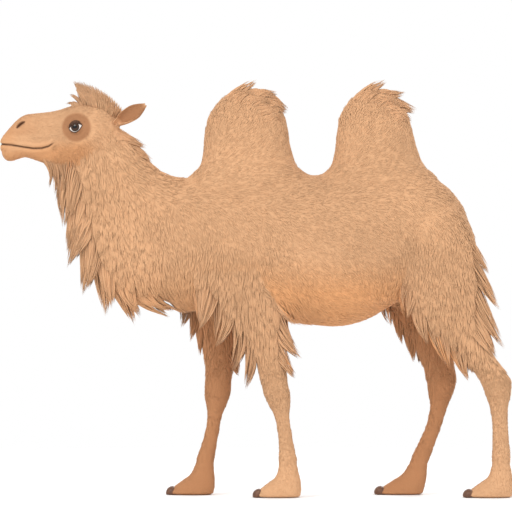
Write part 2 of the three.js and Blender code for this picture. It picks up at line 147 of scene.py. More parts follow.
# Rows of a leg: its height, how far the outline lies behind and ahead of its middle, half its width,
# and how far the middle moves towards the plane of symmetry.
FOREARM = [
    (1480, 70, 70, 50, 20),
    (1390, 140, 140, 92, -4),
    (1300, 172, 176, 112, -8),
    (1190, 172, 204, 112, -4),
    (1090, 156, 206, 104, 4),
    (990, 134, 176, 90, 4),
    (890, 104, 128, 74, 2),
    (790, 76, 92, 60, 0),
    (700, 69, 73, 54, 0),
    (625, 67, 73, 54, 0),
    (565, 70, 71, 55, 0),
    (505, 61, 60, 47, 0),
    (440, 43, 40, 35, 0),
    (350, 41, 36, 31, 0),
    (260, 46, 40, 35, 0),
    (195, 55, 51, 44, 0),
    (120, 56, 56, 49, 0),
    (80, 46, 60, 44, 0),
]
THIGH = [
    (1570, 80, 90, 50, 24),
    (1480, 142, 160, 88, 12),
    (1380, 178, 204, 102, 6),
    (1250, 192, 214, 106, 4),
    (1120, 194, 206, 100, 4),
    (1000, 176, 184, 88, 2),
    (900, 136, 140, 74, 2),
    (810, 98, 102, 61, 2),
    (740, 82, 84, 55, 2),
    (690, 78, 75, 52, 2),
    (630, 80, 80, 52, 0),
    (560, 64, 74, 46, 0),
    (480, 43, 54, 36, 0),
    (380, 41, 46, 31, 0),
    (270, 47, 48, 35, 0),
    (195, 54, 54, 43, 0),
    (120, 55, 58, 47, 0),
    (80, 44, 62, 42, 0),
]
FORE_FOOT = [
    (190, 30, 26, 26, 0),
    (150, 55, 52, 47, 0),
    (112, 63, 66, 55, 0),
    (82, 67, 104, 67, 0),
    (50, 70, 145, 81, 0),
    (26, 68, 170, 88, 0),
    (9, 64, 176, 88, 0),
    (1, 50, 150, 70, 0),
]
HIND_FOOT = [
    (190, 28, 28, 24, 0),
    (150, 54, 56, 46, 0),
    (112, 61, 70, 53, 0),
    (82, 63, 110, 63, 0),
    (50, 62, 154, 75, 0),
    (26, 60, 184, 81, 0),
    (9, 57, 190, 81, 0),
    (1, 44, 160, 64, 0),
]
FETLOCK = 165
# Where the middle of each leg passes, as (height, x) from the top down.
FORE_STANCE = {
    "left": [(1420, -120), (1040, -5), (800, 62), (560, 112), (360, 150), (FETLOCK, 170), (0, 172)],
    "right": [(1420, -120), (1040, -165), (800, -190), (560, -208), (360, -238), (FETLOCK, -282), (0, -300)],
}
HIND_STANCE = {
    "left": [(1520, 985), (1000, 1030), (800, 1160), (620, 1290), (400, 1314), (FETLOCK, 1317), (0, 1317)],
    "right": [(1520, 985), (1000, 916), (800, 968), (590, 1011), (400, 978), (FETLOCK, 884), (0, 846)],
}
FORE_Y = 152
HIND_Y = 165
# Its rows and those of its foot, its stance, and how far its middle is from the plane of symmetry.
Leg = namedtuple("Leg", "name kind rows foot stance middle side")
LEGS = [
    Leg(f"{kind}_{name}", kind, rows, foot, stances[name], middle, side)
    for kind, rows, foot, stances, middle in (
        ("foreleg", FOREARM, FORE_FOOT, FORE_STANCE, FORE_Y),
        ("hindleg", THIGH, HIND_FOOT, HIND_STANCE, HIND_Y),
    )
    for name, side in SIDES.items()
]
LEG_SQUARE = 2.2  # how square a leg is across; 2 is an ellipse
FOOT_SQUARE = 2.4

# ---- the face, in millimetres; y is the distance from the plane of symmetry ----
# The head, eyes and ears are set out for a head 0.6 m long, then enlarged from the tip of the lips.
HEAD_SCALE = 1.1
LIPS = np.array((-1.385, 0, 1.905))
EYE = {"centre": (-1004, 72, 1983), "radius": 40, "gaze": (-0.22, 0.97, 0.05)}
EYE_RING = (64, 80)  # the brown ring round the eye, from its centre
EAR = {
    "root": (-812, 68, 2005),
    "along": (0.8, 0.34, 0.5),
    "facing": (-0.35, 0.9, 0.05),
    "length": 187,
    "half_widths": (22, 33, 41, 45, 43, 34, 19, 1.5),
    "curl": ((0, 0.3, 0.7, 1), (4.6, 3.0, 2.0, 1.6)),
    "wall": 4,
    "sunk": 14,
}
MOUTH_LINE = [
    (-1390, 1904),
    (-1325, 1898),
    (-1267, 1888),
    (-1218, 1881),
    (-1178, 1882),
    (-1144, 1891),
    (-1114, 1909),
]
NOSTRIL = {"centre": (-1283, 2000), "slope": 0.66, "half": 27}
LID_CORNER = 57  # degrees from the pupil to the corners of the lids
LID_SNAP = 1.1  # degrees within which a point of the hide is drawn onto the lid's edge
CHEST_PAD = {"middle": (-0.36, 0, 1.05), "size": (0.11, 0.07, 0.045)}
NAIL_RISE = 12.2  # height of the widest part of a toenail
# Swellings and hollows round each eye, in metres: how high, how far behind and above the eye, how many
# times longer than high, and the radius.
ROUND_EYE = {
    "socket": (0.0125, 0, 0, 1.1, 0.050),
    "brow": (0.006, -0.004, 0.056, 1.7, 0.019),
    "temple": (-0.009, 0.074, 0.066, 1.3, 0.022),
    "hollow of the snout": (-0.006, -0.120, -0.010, 1.8, 0.026),
}
# Folds of the lids: degrees out from the edge, height in metres and width in degrees.
UPPER_LID_FOLDS = ((17, -0.0014, 3.2), (24, 0.0012, 5.0))
LOWER_LID_FOLDS = ((13, -0.0010, 3.0), (24, -0.0008, 3.4))
LID_THICK = 0.0021


# ---- small tools ----
def spline(rows, places):
    """Values of a table at fractional row numbers, passing smoothly through every row."""
    rows = np.asarray(rows, float)
    last = len(rows) - 1
    places = np.clip(places, 0, last)
    i = np.minimum(places.astype(int), last - 1)
    f = (places - i)[:, None]
    p0, p1, p2, p3 = rows[np.maximum(i - 1, 0)], rows[i], rows[i + 1], rows[np.minimum(i + 2, last)]
    p0 = np.where((i == 0)[:, None], 2 * p1 - p2, p0)
    p3 = np.where((i == last - 1)[:, None], 2 * p2 - p1, p3)
    bend = 2 * p0 - 5 * p1 + 4 * p2 - p3
    return 0.5 * (2 * p1 + (p2 - p0) * f + bend * f**2 + (3 * p1 - p0 - 3 * p2 + p3) * f**3)


def stance_x(stance, z):
    """The x of a leg's middle at heights z."""
    heights = np.array([h for h, _ in stance], float)[::-1]
    places = np.interp(z, heights, np.arange(len(heights)))
    return spline([(x,) for _, x in stance[::-1]], places)[:, 0]


def leg_rows(leg, rows, square):
    """The rows of a leg or its foot as rows of a swept body."""
    z, behind, ahead, half, inward = np.array(rows, float).T
    x = stance_x(leg.stance, z)
    y = leg.side * (leg.middle - inward)
    zero = np.zeros_like(z)
    return np.stack([x + behind, z, x - ahead, z, half, y, zero, zero + square], axis=1)


def unit(v):
    return v / np.maximum(np.linalg.norm(v, axis=-1, keepdims=True), 1e-12)


def smooth(low, high, value):
    """0 below low, 1 above high, and a soft step between."""
    t = np.clip((value - low) / (high - low), 0, 1)
    return t * t * (3 - 2 * t)


def bump(distance, width):
    return np.exp(-((distance / width) ** 2))


def enlarged(points):
    """Points of the head as it is set out, at its full size."""
    return LIPS + (points - LIPS) * HEAD_SCALE


def set_out(points):
    """Points of the full-size head as it is set out."""
    return LIPS + (points - LIPS) / HEAD_SCALE


def folded(points):
    """The points with the left side laid over the right."""
    return points * (1, 0, 1) + np.abs(points) * (0, 1, 0)


def points_of(vertices):
    return np.array([v.co for v in vertices], float)


def place(vertices, points):
    for vertex, point in zip(vertices, points):
        vertex.co = point


def vectors(mesh, kind):
    """The places ("co") or the directions ("normal") of a mesh's points."""
    values = np.empty(len(mesh.vertices) * 3)
    mesh.vertices.foreach_get(kind, values)
    return values.reshape(-1, 3)


def swept(bm, rows, around, along):
    """Adds a closed body through the rows to bm, made from a ball."""
    made = bmesh.ops.create_uvsphere(bm, u_segments=around, v_segments=along, radius=1)["verts"]
    ball = points_of(made)
    share = np.arccos(np.clip(ball[:, 2], -1, 1)) / math.pi
    back_x, back_z, front_x, front_z, half, y, egg, power = spline(rows, share * (len(rows) - 1)).T
    turn = np.arctan2(ball[:, 1], ball[:, 0])
    pole = (np.hypot(ball[:, 0], ball[:, 1]) > 1e-4).astype(float)
    deep = np.sign(np.cos(turn)) * np.abs(np.cos(turn)) ** (2 / power) * pole
    across = np.sign(np.sin(turn)) * np.abs(np.sin(turn)) ** (2 / power) * pole
    x = (back_x + front_x) / 2 + deep * (back_x - front_x) / 2
    z = (back_z + front_z) / 2 + deep * (back_z - front_z) / 2
    place(made, np.stack([x, y + across * half * (1 + egg * deep), z], axis=1) * MM)


def loose(name, bm):
    """A bmesh as an object that is not yet a piece, its faces outwards."""
    bmesh.ops.recalc_face_normals(bm, faces=bm.faces)
    mesh = bpy.data.meshes.new(name)
    bm.to_mesh(mesh)
    bm.free()
    return linked(name, mesh)


def linked(name, data):
    obj = bpy.data.objects.new(name, data)
    bpy.context.scene.collection.objects.link(obj)
    return obj


def riding(obj, material):
    """The object as a piece that rides on the body, smooth and with its finish."""
    obj.data.materials.clear()
    obj.data.materials.append(material)
    obj.data.polygons.foreach_set("use_smooth", np.ones(len(obj.data.polygons), bool))
    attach(obj, BODY)
    return obj


def applied(obj):
    """The object with its modifiers made real."""
    graph = bpy.context.evaluated_depsgraph_get()
    mesh = bpy.data.meshes.new_from_object(obj.evaluated_get(graph))
    obj.modifiers.clear()
    old = obj.data
    obj.data = mesh
    bpy.data.meshes.remove(old)
    return obj


def attribute(mesh, name, values):
    mesh.attributes.new(name, "FLOAT", "POINT").data.foreach_set("value", np.asarray(values, np.float32))


# ---- the head's features ----
def eye_frame():
    """The eye's centre and its axes: where it looks, towards its front corner, and up."""
    gaze = unit(np.array(EYE["gaze"], float))
    forward = np.array((-1.0, 0.0, -0.16))
    forward = unit(forward - gaze * (forward @ gaze))
    up = np.cross(gaze, forward)
    return np.array(EYE["centre"], float) * MM, gaze, forward, up * math.copysign(1, up[2])


def lid_edges(x):
    """The heights of the upper and lower lid's edges at x degrees ahead of the pupil, in degrees."""
    share = np.clip(1 - (x / LID_CORNER) ** 2, 0, 1)
    return 22 * share**1.05 - 0.1 * x, -37 * share**1.1 - 0.1 * x


def eye_angles(points):
    """Distance from the eye on their side, and across, up and off-axis angles in degrees, of points."""
    centre, gaze, forward, up = eye_frame()
    away = folded(points) - centre
    distance = np.linalg.norm(away, axis=1)
    ray = away / np.maximum(distance, 1e-9)[:, None]
    off = np.degrees(np.arccos(np.clip(ray @ gaze, -1, 1)))
    turn = np.arctan2(ray @ up, ray @ forward)
    return distance, off * np.cos(turn), off * np.sin(turn), off, ray


def eye_ray(level, rise):
    """The direction from the eye's centre at the angles across and up."""
    _, gaze, forward, up = eye_frame()
    off = np.radians(np.hypot(level, rise))[:, None]
    turn = np.arctan2(rise, level)[:, None]
    return gaze * np.cos(off) + (forward * np.cos(turn) + up * np.sin(turn)) * np.sin(off)


def mouth_gap(points):
    """Height above the line of the mouth, and how much of a mouth there is at that x."""
    line = np.array(MOUTH_LINE, float) * MM
    height = points[:, 2] - np.interp(points[:, 0], line[:, 0], line[:, 1])
    return height, 1 - smooth(line[-1, 0] - 0.024, line[-1, 0] + 0.004, points[:, 0])


def nostril_place(points):
    """Along and across the slit of the nostril, in the side view."""
    x = points[:, 0] - NOSTRIL["centre"][0] * MM
    z = points[:, 2] - NOSTRIL["centre"][1] * MM
    slope = NOSTRIL["slope"]
    along = x * math.cos(slope) + z * math.sin(slope)
    across = z * math.cos(slope) - x * math.sin(slope)
    return along, across + 0.004 * (along / (NOSTRIL["half"] * MM)) ** 2


def face_slope(x):
    """How much higher the lines along the face lie at x than level with the corner of the mouth."""
    return 0.12 * (x + 1.15)


def carve_face(points, normals):
    """Brows, hollows, cheeks, lips, nostrils, the cleft lip and the lids, as shifts of the head's surface."""
    x, y, z = points[:, 0], np.abs(points[:, 1]), points[:, 2]
    side = smooth(0.25, 0.6, np.abs(normals[:, 1]))
    back, up = x - EYE["centre"][0] * MM, z - EYE["centre"][2] * MM
    shift = np.zeros(len(points))
    for high, behind, above, longer, radius in ROUND_EYE.values():
        shift += high * bump(np.hypot((back - behind) / longer, up - above), radius) * side
    shift += 0.007 * bump(np.hypot((x + 0.955) / 1.2, z - 1.885), 0.045) * side
    facial_crest = smooth(-1.27, -1.2, x) * smooth(-0.98, -1.06, x) * side
    shift += 0.003 * bump(z - 1.946 - face_slope(x), 0.012) * facial_crest
    gap, mouth = mouth_gap(points)
    on_line = (np.abs(gap) < 0.0014) & (mouth > 0.05)
    points = points - np.where(on_line, gap, 0)[:, None] * (0, 0, 1)
    gap = np.where(on_line, 0, gap)
    shift += mouth * (0.0045 * bump(gap - 0.013, 0.010) + 0.005 * bump(gap + 0.016, 0.013))
    shift -= mouth * 0.009 * bump(gap, 0.0036)
    shift -= mouth * 0.002 * bump(gap - 0.03, 0.008) * side
    front = smooth(-1.31, -1.355, x)
    shift -= 0.006 * bump(y, 0.0028) * front * smooth(0.0, 0.01, gap) * smooth(0.075, 0.055, gap)
    along, across = nostril_place(points)
    reach = NOSTRIL["half"] * MM
    slit = np.clip(1 - (along / reach) ** 2, 0, 1) * side
    shift -= 0.014 * slit**0.6 * bump(across, 0.0052)
    shift += 0.0035 * bump(across - 0.013, 0.006) * bump(along, reach * 1.1) * side
    shift += 0.003 * bump(across + 0.012, 0.006) * bump(along, reach * 1.1) * side
    return carve_lids(points + normals * shift[:, None])


def carve_lids(points):
    """Draws the head's surface over the eyeballs, as lids with rolled edges and folds."""
    distance, level, rise, off, ray = eye_angles(points)
    ball = EYE["radius"] * MM
    upper, lower = lid_edges(level)
    edge = np.where(upper - rise < rise - lower, upper, lower)
    close = (np.abs(edge - rise) < LID_SNAP) & (np.abs(level) < 54)
    rise = np.where(close, edge, rise)
    ray = np.where(close[:, None], eye_ray(level, rise), ray)
    inside = np.minimum(upper - rise, rise - lower)
    open_share = smooth(0.05, 2.2, inside)
    above, below = rise - upper, lower - rise
    lid = ball + LID_THICK + 0.0009 * bump(inside + 3, 3.0)
    for out, folds in ((above, UPPER_LID_FOLDS), (below, LOWER_LID_FOLDS)):
        for from_edge, high, wide in folds:
            lid += high * bump(out - from_edge, wide) * (out > 0)
    want = lid * (1 - open_share) + (ball - 0.005) * open_share
    hold = 1 - smooth(56, 84, off)
    moved = eye_frame()[0] + ray * (distance + (want - distance) * hold)[:, None]
    moved = np.where((distance < 3 * ball)[:, None], moved, folded(points))
    return moved * np.where(points[:, 1:2] < 0, (1, -1, 1), (1, 1, 1))


def refine(bm, wanted, cuts=1):
    """Cuts the faces whose middles are wanted into smaller ones."""
    middles = np.array([face.calc_center_median() for face in bm.faces])
    chosen = {edge for face, take in zip(bm.faces, wanted(middles)) if take for edge in face.edges}
    bmesh.ops.subdivide_edges(bm, edges=list(chosen), cuts=cuts, use_grid_fill=True)


def vertex_normals(bm):
    bm.normal_update()
    return np.array([v.normal for v in bm.verts], float)


def head_body():
    """The head with its mouth, nostrils and lids cut finely enough to be carved."""
    bm = bmesh.new()
    swept(bm, HEAD, 96, 130)
    bmesh.ops.recalc_face_normals(bm, faces=bm.faces)
    ball = EYE["radius"] * MM

    def eye_zone(size):
        return lambda middles: eye_angles(middles)[0] < size

    def lid_zone(middles):
        distance, level, rise, _, _ = eye_angles(middles)
        upper, lower = lid_edges(level)
        return (distance < 1.6 * ball) & (np.abs(np.minimum(upper - rise, rise - lower)) < 6)

    def mouth_zone(middles):
        gap, mouth = mouth_gap(middles)
        along, across = nostril_place(middles)
        slit = (np.abs(along) < 0.034) & (np.abs(across) < 0.018) & (np.abs(middles[:, 1]) > 0.02)
        return ((np.abs(gap) < 0.009) & (mouth > 0)) | slit

    refine(bm, eye_zone(2.3 * ball))
    refine(bm, eye_zone(1.6 * ball))
    refine(bm, lid_zone)
    refine(bm, mouth_zone)
    place(bm.verts, enlarged(carve_face(points_of(bm.verts), vertex_normals(bm))))
    return loose("head_form", bm)


def ear_axes(side):
    """An ear's root, and its directions along, out of its hollow and across."""
    def outwards(v):
        return np.array((v[0], side * v[1], v[2]), float)

    along = unit(outwards(EAR["along"]))
    facing = outwards(EAR["facing"])
    facing = unit(facing - along * (facing @ along))
    return outwards(EAR["root"]) * MM, along, facing, np.cross(along, facing)


def ear_curve(share):
    """Half the width of the ear's leaf and the radius of its curl, in metres, at shares of its length."""
    widths = EAR["half_widths"]
    half = spline([(width,) for width in widths], share * (len(widths) - 1))[:, 0] * MM
    return half, 2 * half / np.interp(share, *EAR["curl"])


def ear_floor(share, across):
    """How far towards its hollow side the ear's leaf lies, across its width."""
    half, radius = ear_curve(share)
    turn = np.arcsin(np.clip(across / radius, -1, 1))
    return cupped(share, half, radius, turn)


def cupped(share, half, radius, turn):
    """How far the ear's leaf rises from its middle line into the cup, and towards its tip."""
    return radius * (1 - np.cos(turn)) - 0.35 * half + 0.012 * share**2


def ear_body(side):
    """A cupped leaf, rolled into a tube at its root, with a wall a few millimetres thick."""
    root, along, facing, across = ear_axes(side)
    bm = bmesh.new()
    bmesh.ops.create_grid(bm, x_segments=18, y_segments=28, size=1)
    grid = points_of(bm.verts)
    share = (grid[:, 1] + 1) / 2
    half, radius = ear_curve(share)
    turn = grid[:, 0] * half / radius
    sunk = EAR["sunk"] * MM
    points = root + along * (share * (EAR["length"] * MM + sunk) - sunk)[:, None]
    points = points + across * (radius * np.sin(turn))[:, None]
    points = points + facing * cupped(share, half, radius, turn)[:, None]
    place(bm.verts, enlarged(points))
    bmesh.ops.solidify(bm, geom=bm.faces[:], thickness=EAR["wall"] * MM)
    return loose("ear_form", bm)


def foot_body(leg):
    """A broad pad with two toes, parted by a groove over the top and a notch in front."""
    bm = bmesh.new()
    swept(bm, leg_rows(leg, leg.foot, FOOT_SQUARE), 40, 34)
    points = points_of(bm.verts)
    off = points[:, 1] - leg.side * leg.middle * MM
    ahead = smooth(0.03, 0.15, stance_x(leg.stance, np.zeros(1))[0] * MM - points[:, 0])
    low = 1 - smooth(0.05, 0.13, points[:, 2])
    points[:, 0] += 0.034 * bump(off, 0.011) * ahead * low
    points[:, 2] -= 0.009 * bump(off, 0.012) * ahead * smooth(0.01, 0.04, points[:, 2])
    points[:, 2] = np.maximum(points[:, 2], 0.0006)
    place(bm.verts, points)
    return loose("foot_form", bm)


def united(base, others):
    """The base with the other bodies joined on, as one closed surface."""
    for other in others:
        joint = base.modifiers.new("Join", "BOOLEAN")
        joint.operation = "UNION"
        joint.solver = "MANIFOLD"
        joint.object = other
    applied(base)
    for other in others:
        bpy.data.objects.remove(other)
    return base


def skin_body(voxel):
    """The whole hide as one closed surface, finest on the head."""
    bm = bmesh.new()
    swept(bm, TRUNK, 64, 80)
    swept(bm, NECK, 64, 64)
    swept(bm, FRONT_HUMP, 64, 40)
    swept(bm, REAR_HUMP, 64, 40)
    swept(bm, TAIL, 24, 40)
    for leg in LEGS:
        swept(bm, leg_rows(leg, leg.rows, LEG_SQUARE), 40, 110)
    chest_pad = bmesh.ops.create_uvsphere(bm, u_segments=24, v_segments=16, radius=1)["verts"]
    bmesh.ops.scale(bm, vec=CHEST_PAD["size"], verts=chest_pad)
    bmesh.ops.translate(bm, vec=CHEST_PAD["middle"], verts=chest_pad)
    body = loose("skin", bm)
    melt = body.modifiers.new("Melt together", "REMESH")
    melt.mode = "VOXEL"
    melt.voxel_size = voxel
    applied(body)
    soften(body, 3, lambda p: np.full(len(p), 0.5))
    soften(body, 12, lambda p: 0.5 * smooth(0.9, 1.05, p[:, 2]))
    feet = [foot_body(leg) for leg in LEGS]
    united(body, [united(head_body(), [ear_body(side) for side in SIDES.values()])] + feet)
    soften(body, 26, joint_zone)
    return body


def joint_zone(points):
    """Where the head meets the neck, and the feet the legs."""
    x, z = points[:, 0], points[:, 2]
    neck = bump(head_side(points), 0.034) * smooth(1.75, 1.8, z) * smooth(-0.63, -0.68, x)
    return 0.5 * np.maximum(neck, bump(z - 0.155, 0.04))


def soften(obj, times, weight):
    """Moves each point towards the middle of its neighbours, by a weight that depends on where it lies."""
    mesh = obj.data
    count = len(mesh.vertices)
    points = vectors(mesh, "co")
    ends = np.empty(len(mesh.edges) * 2, int)
    mesh.edges.foreach_get("vertices", ends)
    a, b = ends.reshape(-1, 2).T
    share = weight(points)[:, None]

    def gathered_at(values):
        return np.bincount(a, values[b], count) + np.bincount(b, values[a], count)

    valence = np.maximum(gathered_at(np.ones(count)), 1)[:, None]
    for _ in range(times):
        total = np.stack([gathered_at(column) for column in points.T], axis=1)
        points = points + share * (total / valence - points)
    mesh.vertices.foreach_set("co", points.ravel())
    mesh.update()


# ---- regions of the hide ----
REGIONS = ("head", "neck", "trunk", "hump_front", "hump_rear", "tail", *(leg.name for leg in LEGS))
NUMBER = {name: i for i, name in enumerate(REGIONS)}
CHART = {"columns": 4, "rows": 3, "patch": 0.003, "margin": 0.012}
HUMP_FOOT = 1.72
HUMP_MIDDLES = {"hump_front": -0.05, "hump_rear": 0.645}
BETWEEN_HUMPS = 0.31
BETWEEN_LEGS = 0.45
KNEE = 0.72
LEG_TOPS = {"foreleg": 1.22, "hindleg": 1.38}  # how high a leg's region goes
LEG_REACH = 1.18  # how far a leg's region goes out, as a share of its thickness


def leg_place(points, leg):
    """How far points lie from a leg's middle, as a share of its thickness there, and the angle round it."""
    z = points[:, 2] / MM
    height, behind, ahead, half, inward = np.array(leg.rows, float)[::-1].T
    off_x = points[:, 0] / MM - stance_x(leg.stance, np.clip(z, 0, leg.stance[0][0]))
    off_y = (points[:, 1] / MM) * leg.side - (leg.middle - np.interp(z, height, inward))
    reach = np.where(off_x > 0, np.interp(z, height, behind), np.interp(z, height, ahead))
    share = np.hypot(off_x / reach, off_y / np.interp(z, height, half))
    return share, np.arctan2(off_y, off_x)


def head_side(points):
    """Above 0 on the head's side of the throat, below 0 on the neck's."""
    face = set_out(points)
    return (face[:, 2] - 1.879) * 0.855 - (face[:, 0] + 0.908) * 0.518


def under_line(face):
    """The height of the underside of the jaw at points of the head."""
    return np.interp(face[:, 0], [row[2] * MM for row in HEAD], [row[3] * MM for row in HEAD])


def under_jaw(points):
    """Whether points lie under the jaw, where the beard grows."""
    face = set_out(points)
    return (face[:, 2] < under_line(face) + 0.02) & (face[:, 0] > -1.175) & (head_side(points) > 0)


def regions(points):
    """The number of the region that each point lies in."""
    x, y, z = points.T
    found = np.full(len(points), NUMBER["trunk"])
    found[x < -0.42 - (1.70 - z) * 0.215] = NUMBER["neck"]
    found[(head_side(points) > 0) & (x < -0.6)] = NUMBER["head"]
    top = (z > HUMP_FOOT) & (x > -0.36)
    found[top & (x <= BETWEEN_HUMPS)] = NUMBER["hump_front"]
    found[top & (x > BETWEEN_HUMPS)] = NUMBER["hump_rear"]
    for leg in LEGS:
        share, turn = leg_place(points, leg)
        here = (y * leg.side > 0) & ((x < BETWEEN_LEGS) == (leg.kind == "foreleg"))
        widest = LEG_REACH + (0.35 * np.maximum(-np.cos(turn), 0) if leg.kind == "foreleg" else 0)
        upper = (z < LEG_TOPS[leg.kind]) & (share < widest) & (np.abs(y) > 0.04)
        found[here & (upper | (z < KNEE)) & (found != NUMBER["neck"])] = NUMBER[leg.name]
    found[(x > 1.14 + (1.46 - z) * 0.12) & (np.abs(y) < 0.032) & (z > 1.1) & (z < 1.52)] = NUMBER["tail"]
    return found


def chart(points, found):
    """A place for each point on the flat chart of the hide: one tile per region, round it by along it."""
    x, y, z = points.T
    turn = np.arctan2(z - 1.36, y)
    along = (x + 0.7) / 1.95

    def laid_out(name, round_it, along_it):
        here = found == NUMBER[name]
        turn[here] = round_it[here]
        along[here] = along_it[here]

    laid_out("head", np.arctan2(z - 1.95, y), (x + 1.4) / 0.72)
    neck_x, neck_z = x + 0.76, z - 1.55
    neck_along = (0.51 * neck_x - 0.86 * neck_z) / 1.05 + 0.5
    laid_out("neck", np.arctan2(0.86 * neck_x + 0.51 * neck_z, y), neck_along)
    for name, middle in HUMP_MIDDLES.items():
        laid_out(name, np.arctan2(y, x - middle), (z - HUMP_FOOT) / 0.5)
    laid_out("tail", np.arctan2(y, x - 1.175), (z - 1.08) / 0.48)
    for leg in LEGS:
        laid_out(leg.name, leg_place(points, leg)[1], z / 1.42)
    spot = np.stack([turn / (2 * math.pi) + 0.5, np.clip(along, 0, 1)], axis=1)
    tile = np.stack([found % CHART["columns"], found // CHART["columns"]], axis=1)
    size = np.array((1 / CHART["columns"], 1 / CHART["rows"]))
    return (tile + CHART["margin"] + spot * (1 - 3 * CHART["margin"])) * size


# ---- markings, with painted shade and painted light, the same on hide and coat ----
def marks_shade_and_light(points):
    """How warm, how brown and how dark the camel is at points, from 0 to 1: its markings, with painted shade
    and painted light among them.
    """
    x, y, z = points.T
    found = regions(points)
    head = found == NUMBER["head"]
    face = set_out(points)
    # Painted light: low on the neck and body the coat turns a warmer orange, set lighter than the tan against
    # the shade under the body.
    low = smooth(1.34, 0.94, z) * smooth(-0.62, 0.1, x)
    warm = np.where(np.isin(found, (NUMBER["neck"], NUMBER["trunk"])), low + 0.45 * smooth(1.3, 1.0, z), 0)
    # Painted shade: the lower jaw and the front of the muzzle take the warmer colour, with brown laid over it
    # below, so that they read darker as if in shade.
    below = face[:, 2] - 1.935 - face_slope(face[:, 0])
    jaw = 0.9 * smooth(-0.01, -0.09, below) * smooth(-0.88, -1.0, face[:, 0])
    jaw = np.maximum(jaw, 0.5 * smooth(-1.27, -1.37, face[:, 0]))
    bearded = smooth(-1.2, -1.16, face[:, 0])
    jaw = jaw * smooth(-0.035, -0.012, face[:, 2] - under_line(face) - 0.04 * bearded)
    warm = np.where(head, jaw, np.clip(warm, 0, 1))
    brown = np.zeros(len(points))
    # Painted shade: the inner side of each leg below the body is brown, as the shade between the legs; it
    # darkens the far legs.
    for leg in LEGS:
        inner = smooth(-0.2, 0.3, -np.sin(leg_place(points, leg)[1]))
        brown = np.where(found == NUMBER[leg.name], inner * smooth(1.12, 0.98, z), brown)
    distance, level, rise, _, _ = eye_angles(face)
    ball = EYE["radius"] * MM
    _, lower = lid_edges(level)
    ring = smooth(EYE_RING[1] * MM, EYE_RING[0] * MM, distance)
    brown = np.maximum(brown, 0.95 * ring)
    # Painted shade: brown over the warm jaw and muzzle, and over the top of the nose, to darken them against
    # the light of the key lamp.
    brown = np.maximum(brown, 0.5 * head * warm)
    brown = np.maximum(brown, 0.45 * head * smooth(-1.16, -1.29, face[:, 0]) * smooth(1.93, 1.96, face[:, 2]))
    # Painted shade: the hollow of each ear is brown, as the shade inside it.
    hollow = ear_hollow(face)
    brown = np.maximum(brown, 0.95 * hollow)
    # Painted shade: the nostril slits and the line of the mouth are painted near-black on their bare skin, as
    # the shade in these grooves.
    along, across = nostril_place(face)
    taper = np.sqrt(np.clip(1 - (along / (NOSTRIL["half"] * MM)) ** 2, 0.02, 1))
    slit = bump(across, 0.0088 * taper) * smooth(0.15, 0.3, taper) * (np.abs(y) > 0.015)
    gap, mouth = mouth_gap(face)
    dark = np.maximum(slit, mouth * bump(gap, 0.0044)) * head
    # Painted shade: the eye's brown ring and the ear's hollow are darkened further, as shade.
    dark = np.maximum(dark, 0.25 * np.maximum(ring, hollow))
    lid = smooth(1.5 * ball, 1.25 * ball, distance) * smooth(58, 50, np.hypot(level, rise - 2))
    dark = np.maximum(dark, lid * (rise > lower - 3))
    return {"warm": warm, "brown": np.clip(brown, 0, 1), "dark": np.clip(dark, 0, 1)}


def ear_share(face):
    """How far up an ear points lie, 0 at its root and 1 at its tip, and how far into its hollow."""
    up = np.full(len(face), -1.0)
    into = np.full(len(face), -1.0)
    for side in SIDES.values():
        root, along, facing, across = ear_axes(side)
        away = face - root
        high = away @ along
        share = high / (EAR["length"] * MM)
        off = np.linalg.norm(away - high[:, None] * along, axis=1)
        here = (off < 0.045) & (high > 0.012) & (face[:, 1] * side > 0.03)
        up = np.where(here, share, up)
        into = np.where(here, away @ facing - ear_floor(np.clip(share, 0, 1), away @ across), into)
    return up, into


EAR_CREASE = 0.042  # how far the crease round an ear's root reaches, in metres


def root_apart(face):
    """How far points of the head lie from the root of the nearer ear."""
    x, y, z = ear_axes(1)[0]
    return np.hypot(np.hypot(face[:, 0] - x, face[:, 2] - z), np.abs(face[:, 1]) - y)


def on_ear(points):
    """Whether points lie on an ear or in the crease round its root."""
    face = set_out(points)
    return (ear_share(face)[0] > 0) | (root_apart(face) < EAR_CREASE)


def ear_hollow(face):
    """1 in the hollow of an ear and 0 elsewhere."""
    up, into = ear_share(face)
    return smooth(0.06, 0.16, up) * smooth(1.0, 0.86, up) * (into > -0.5 * EAR["wall"] * MM)


def marked(mesh, points):
    for name, values in marks_shade_and_light(points).items():
        attribute(mesh, name, values)


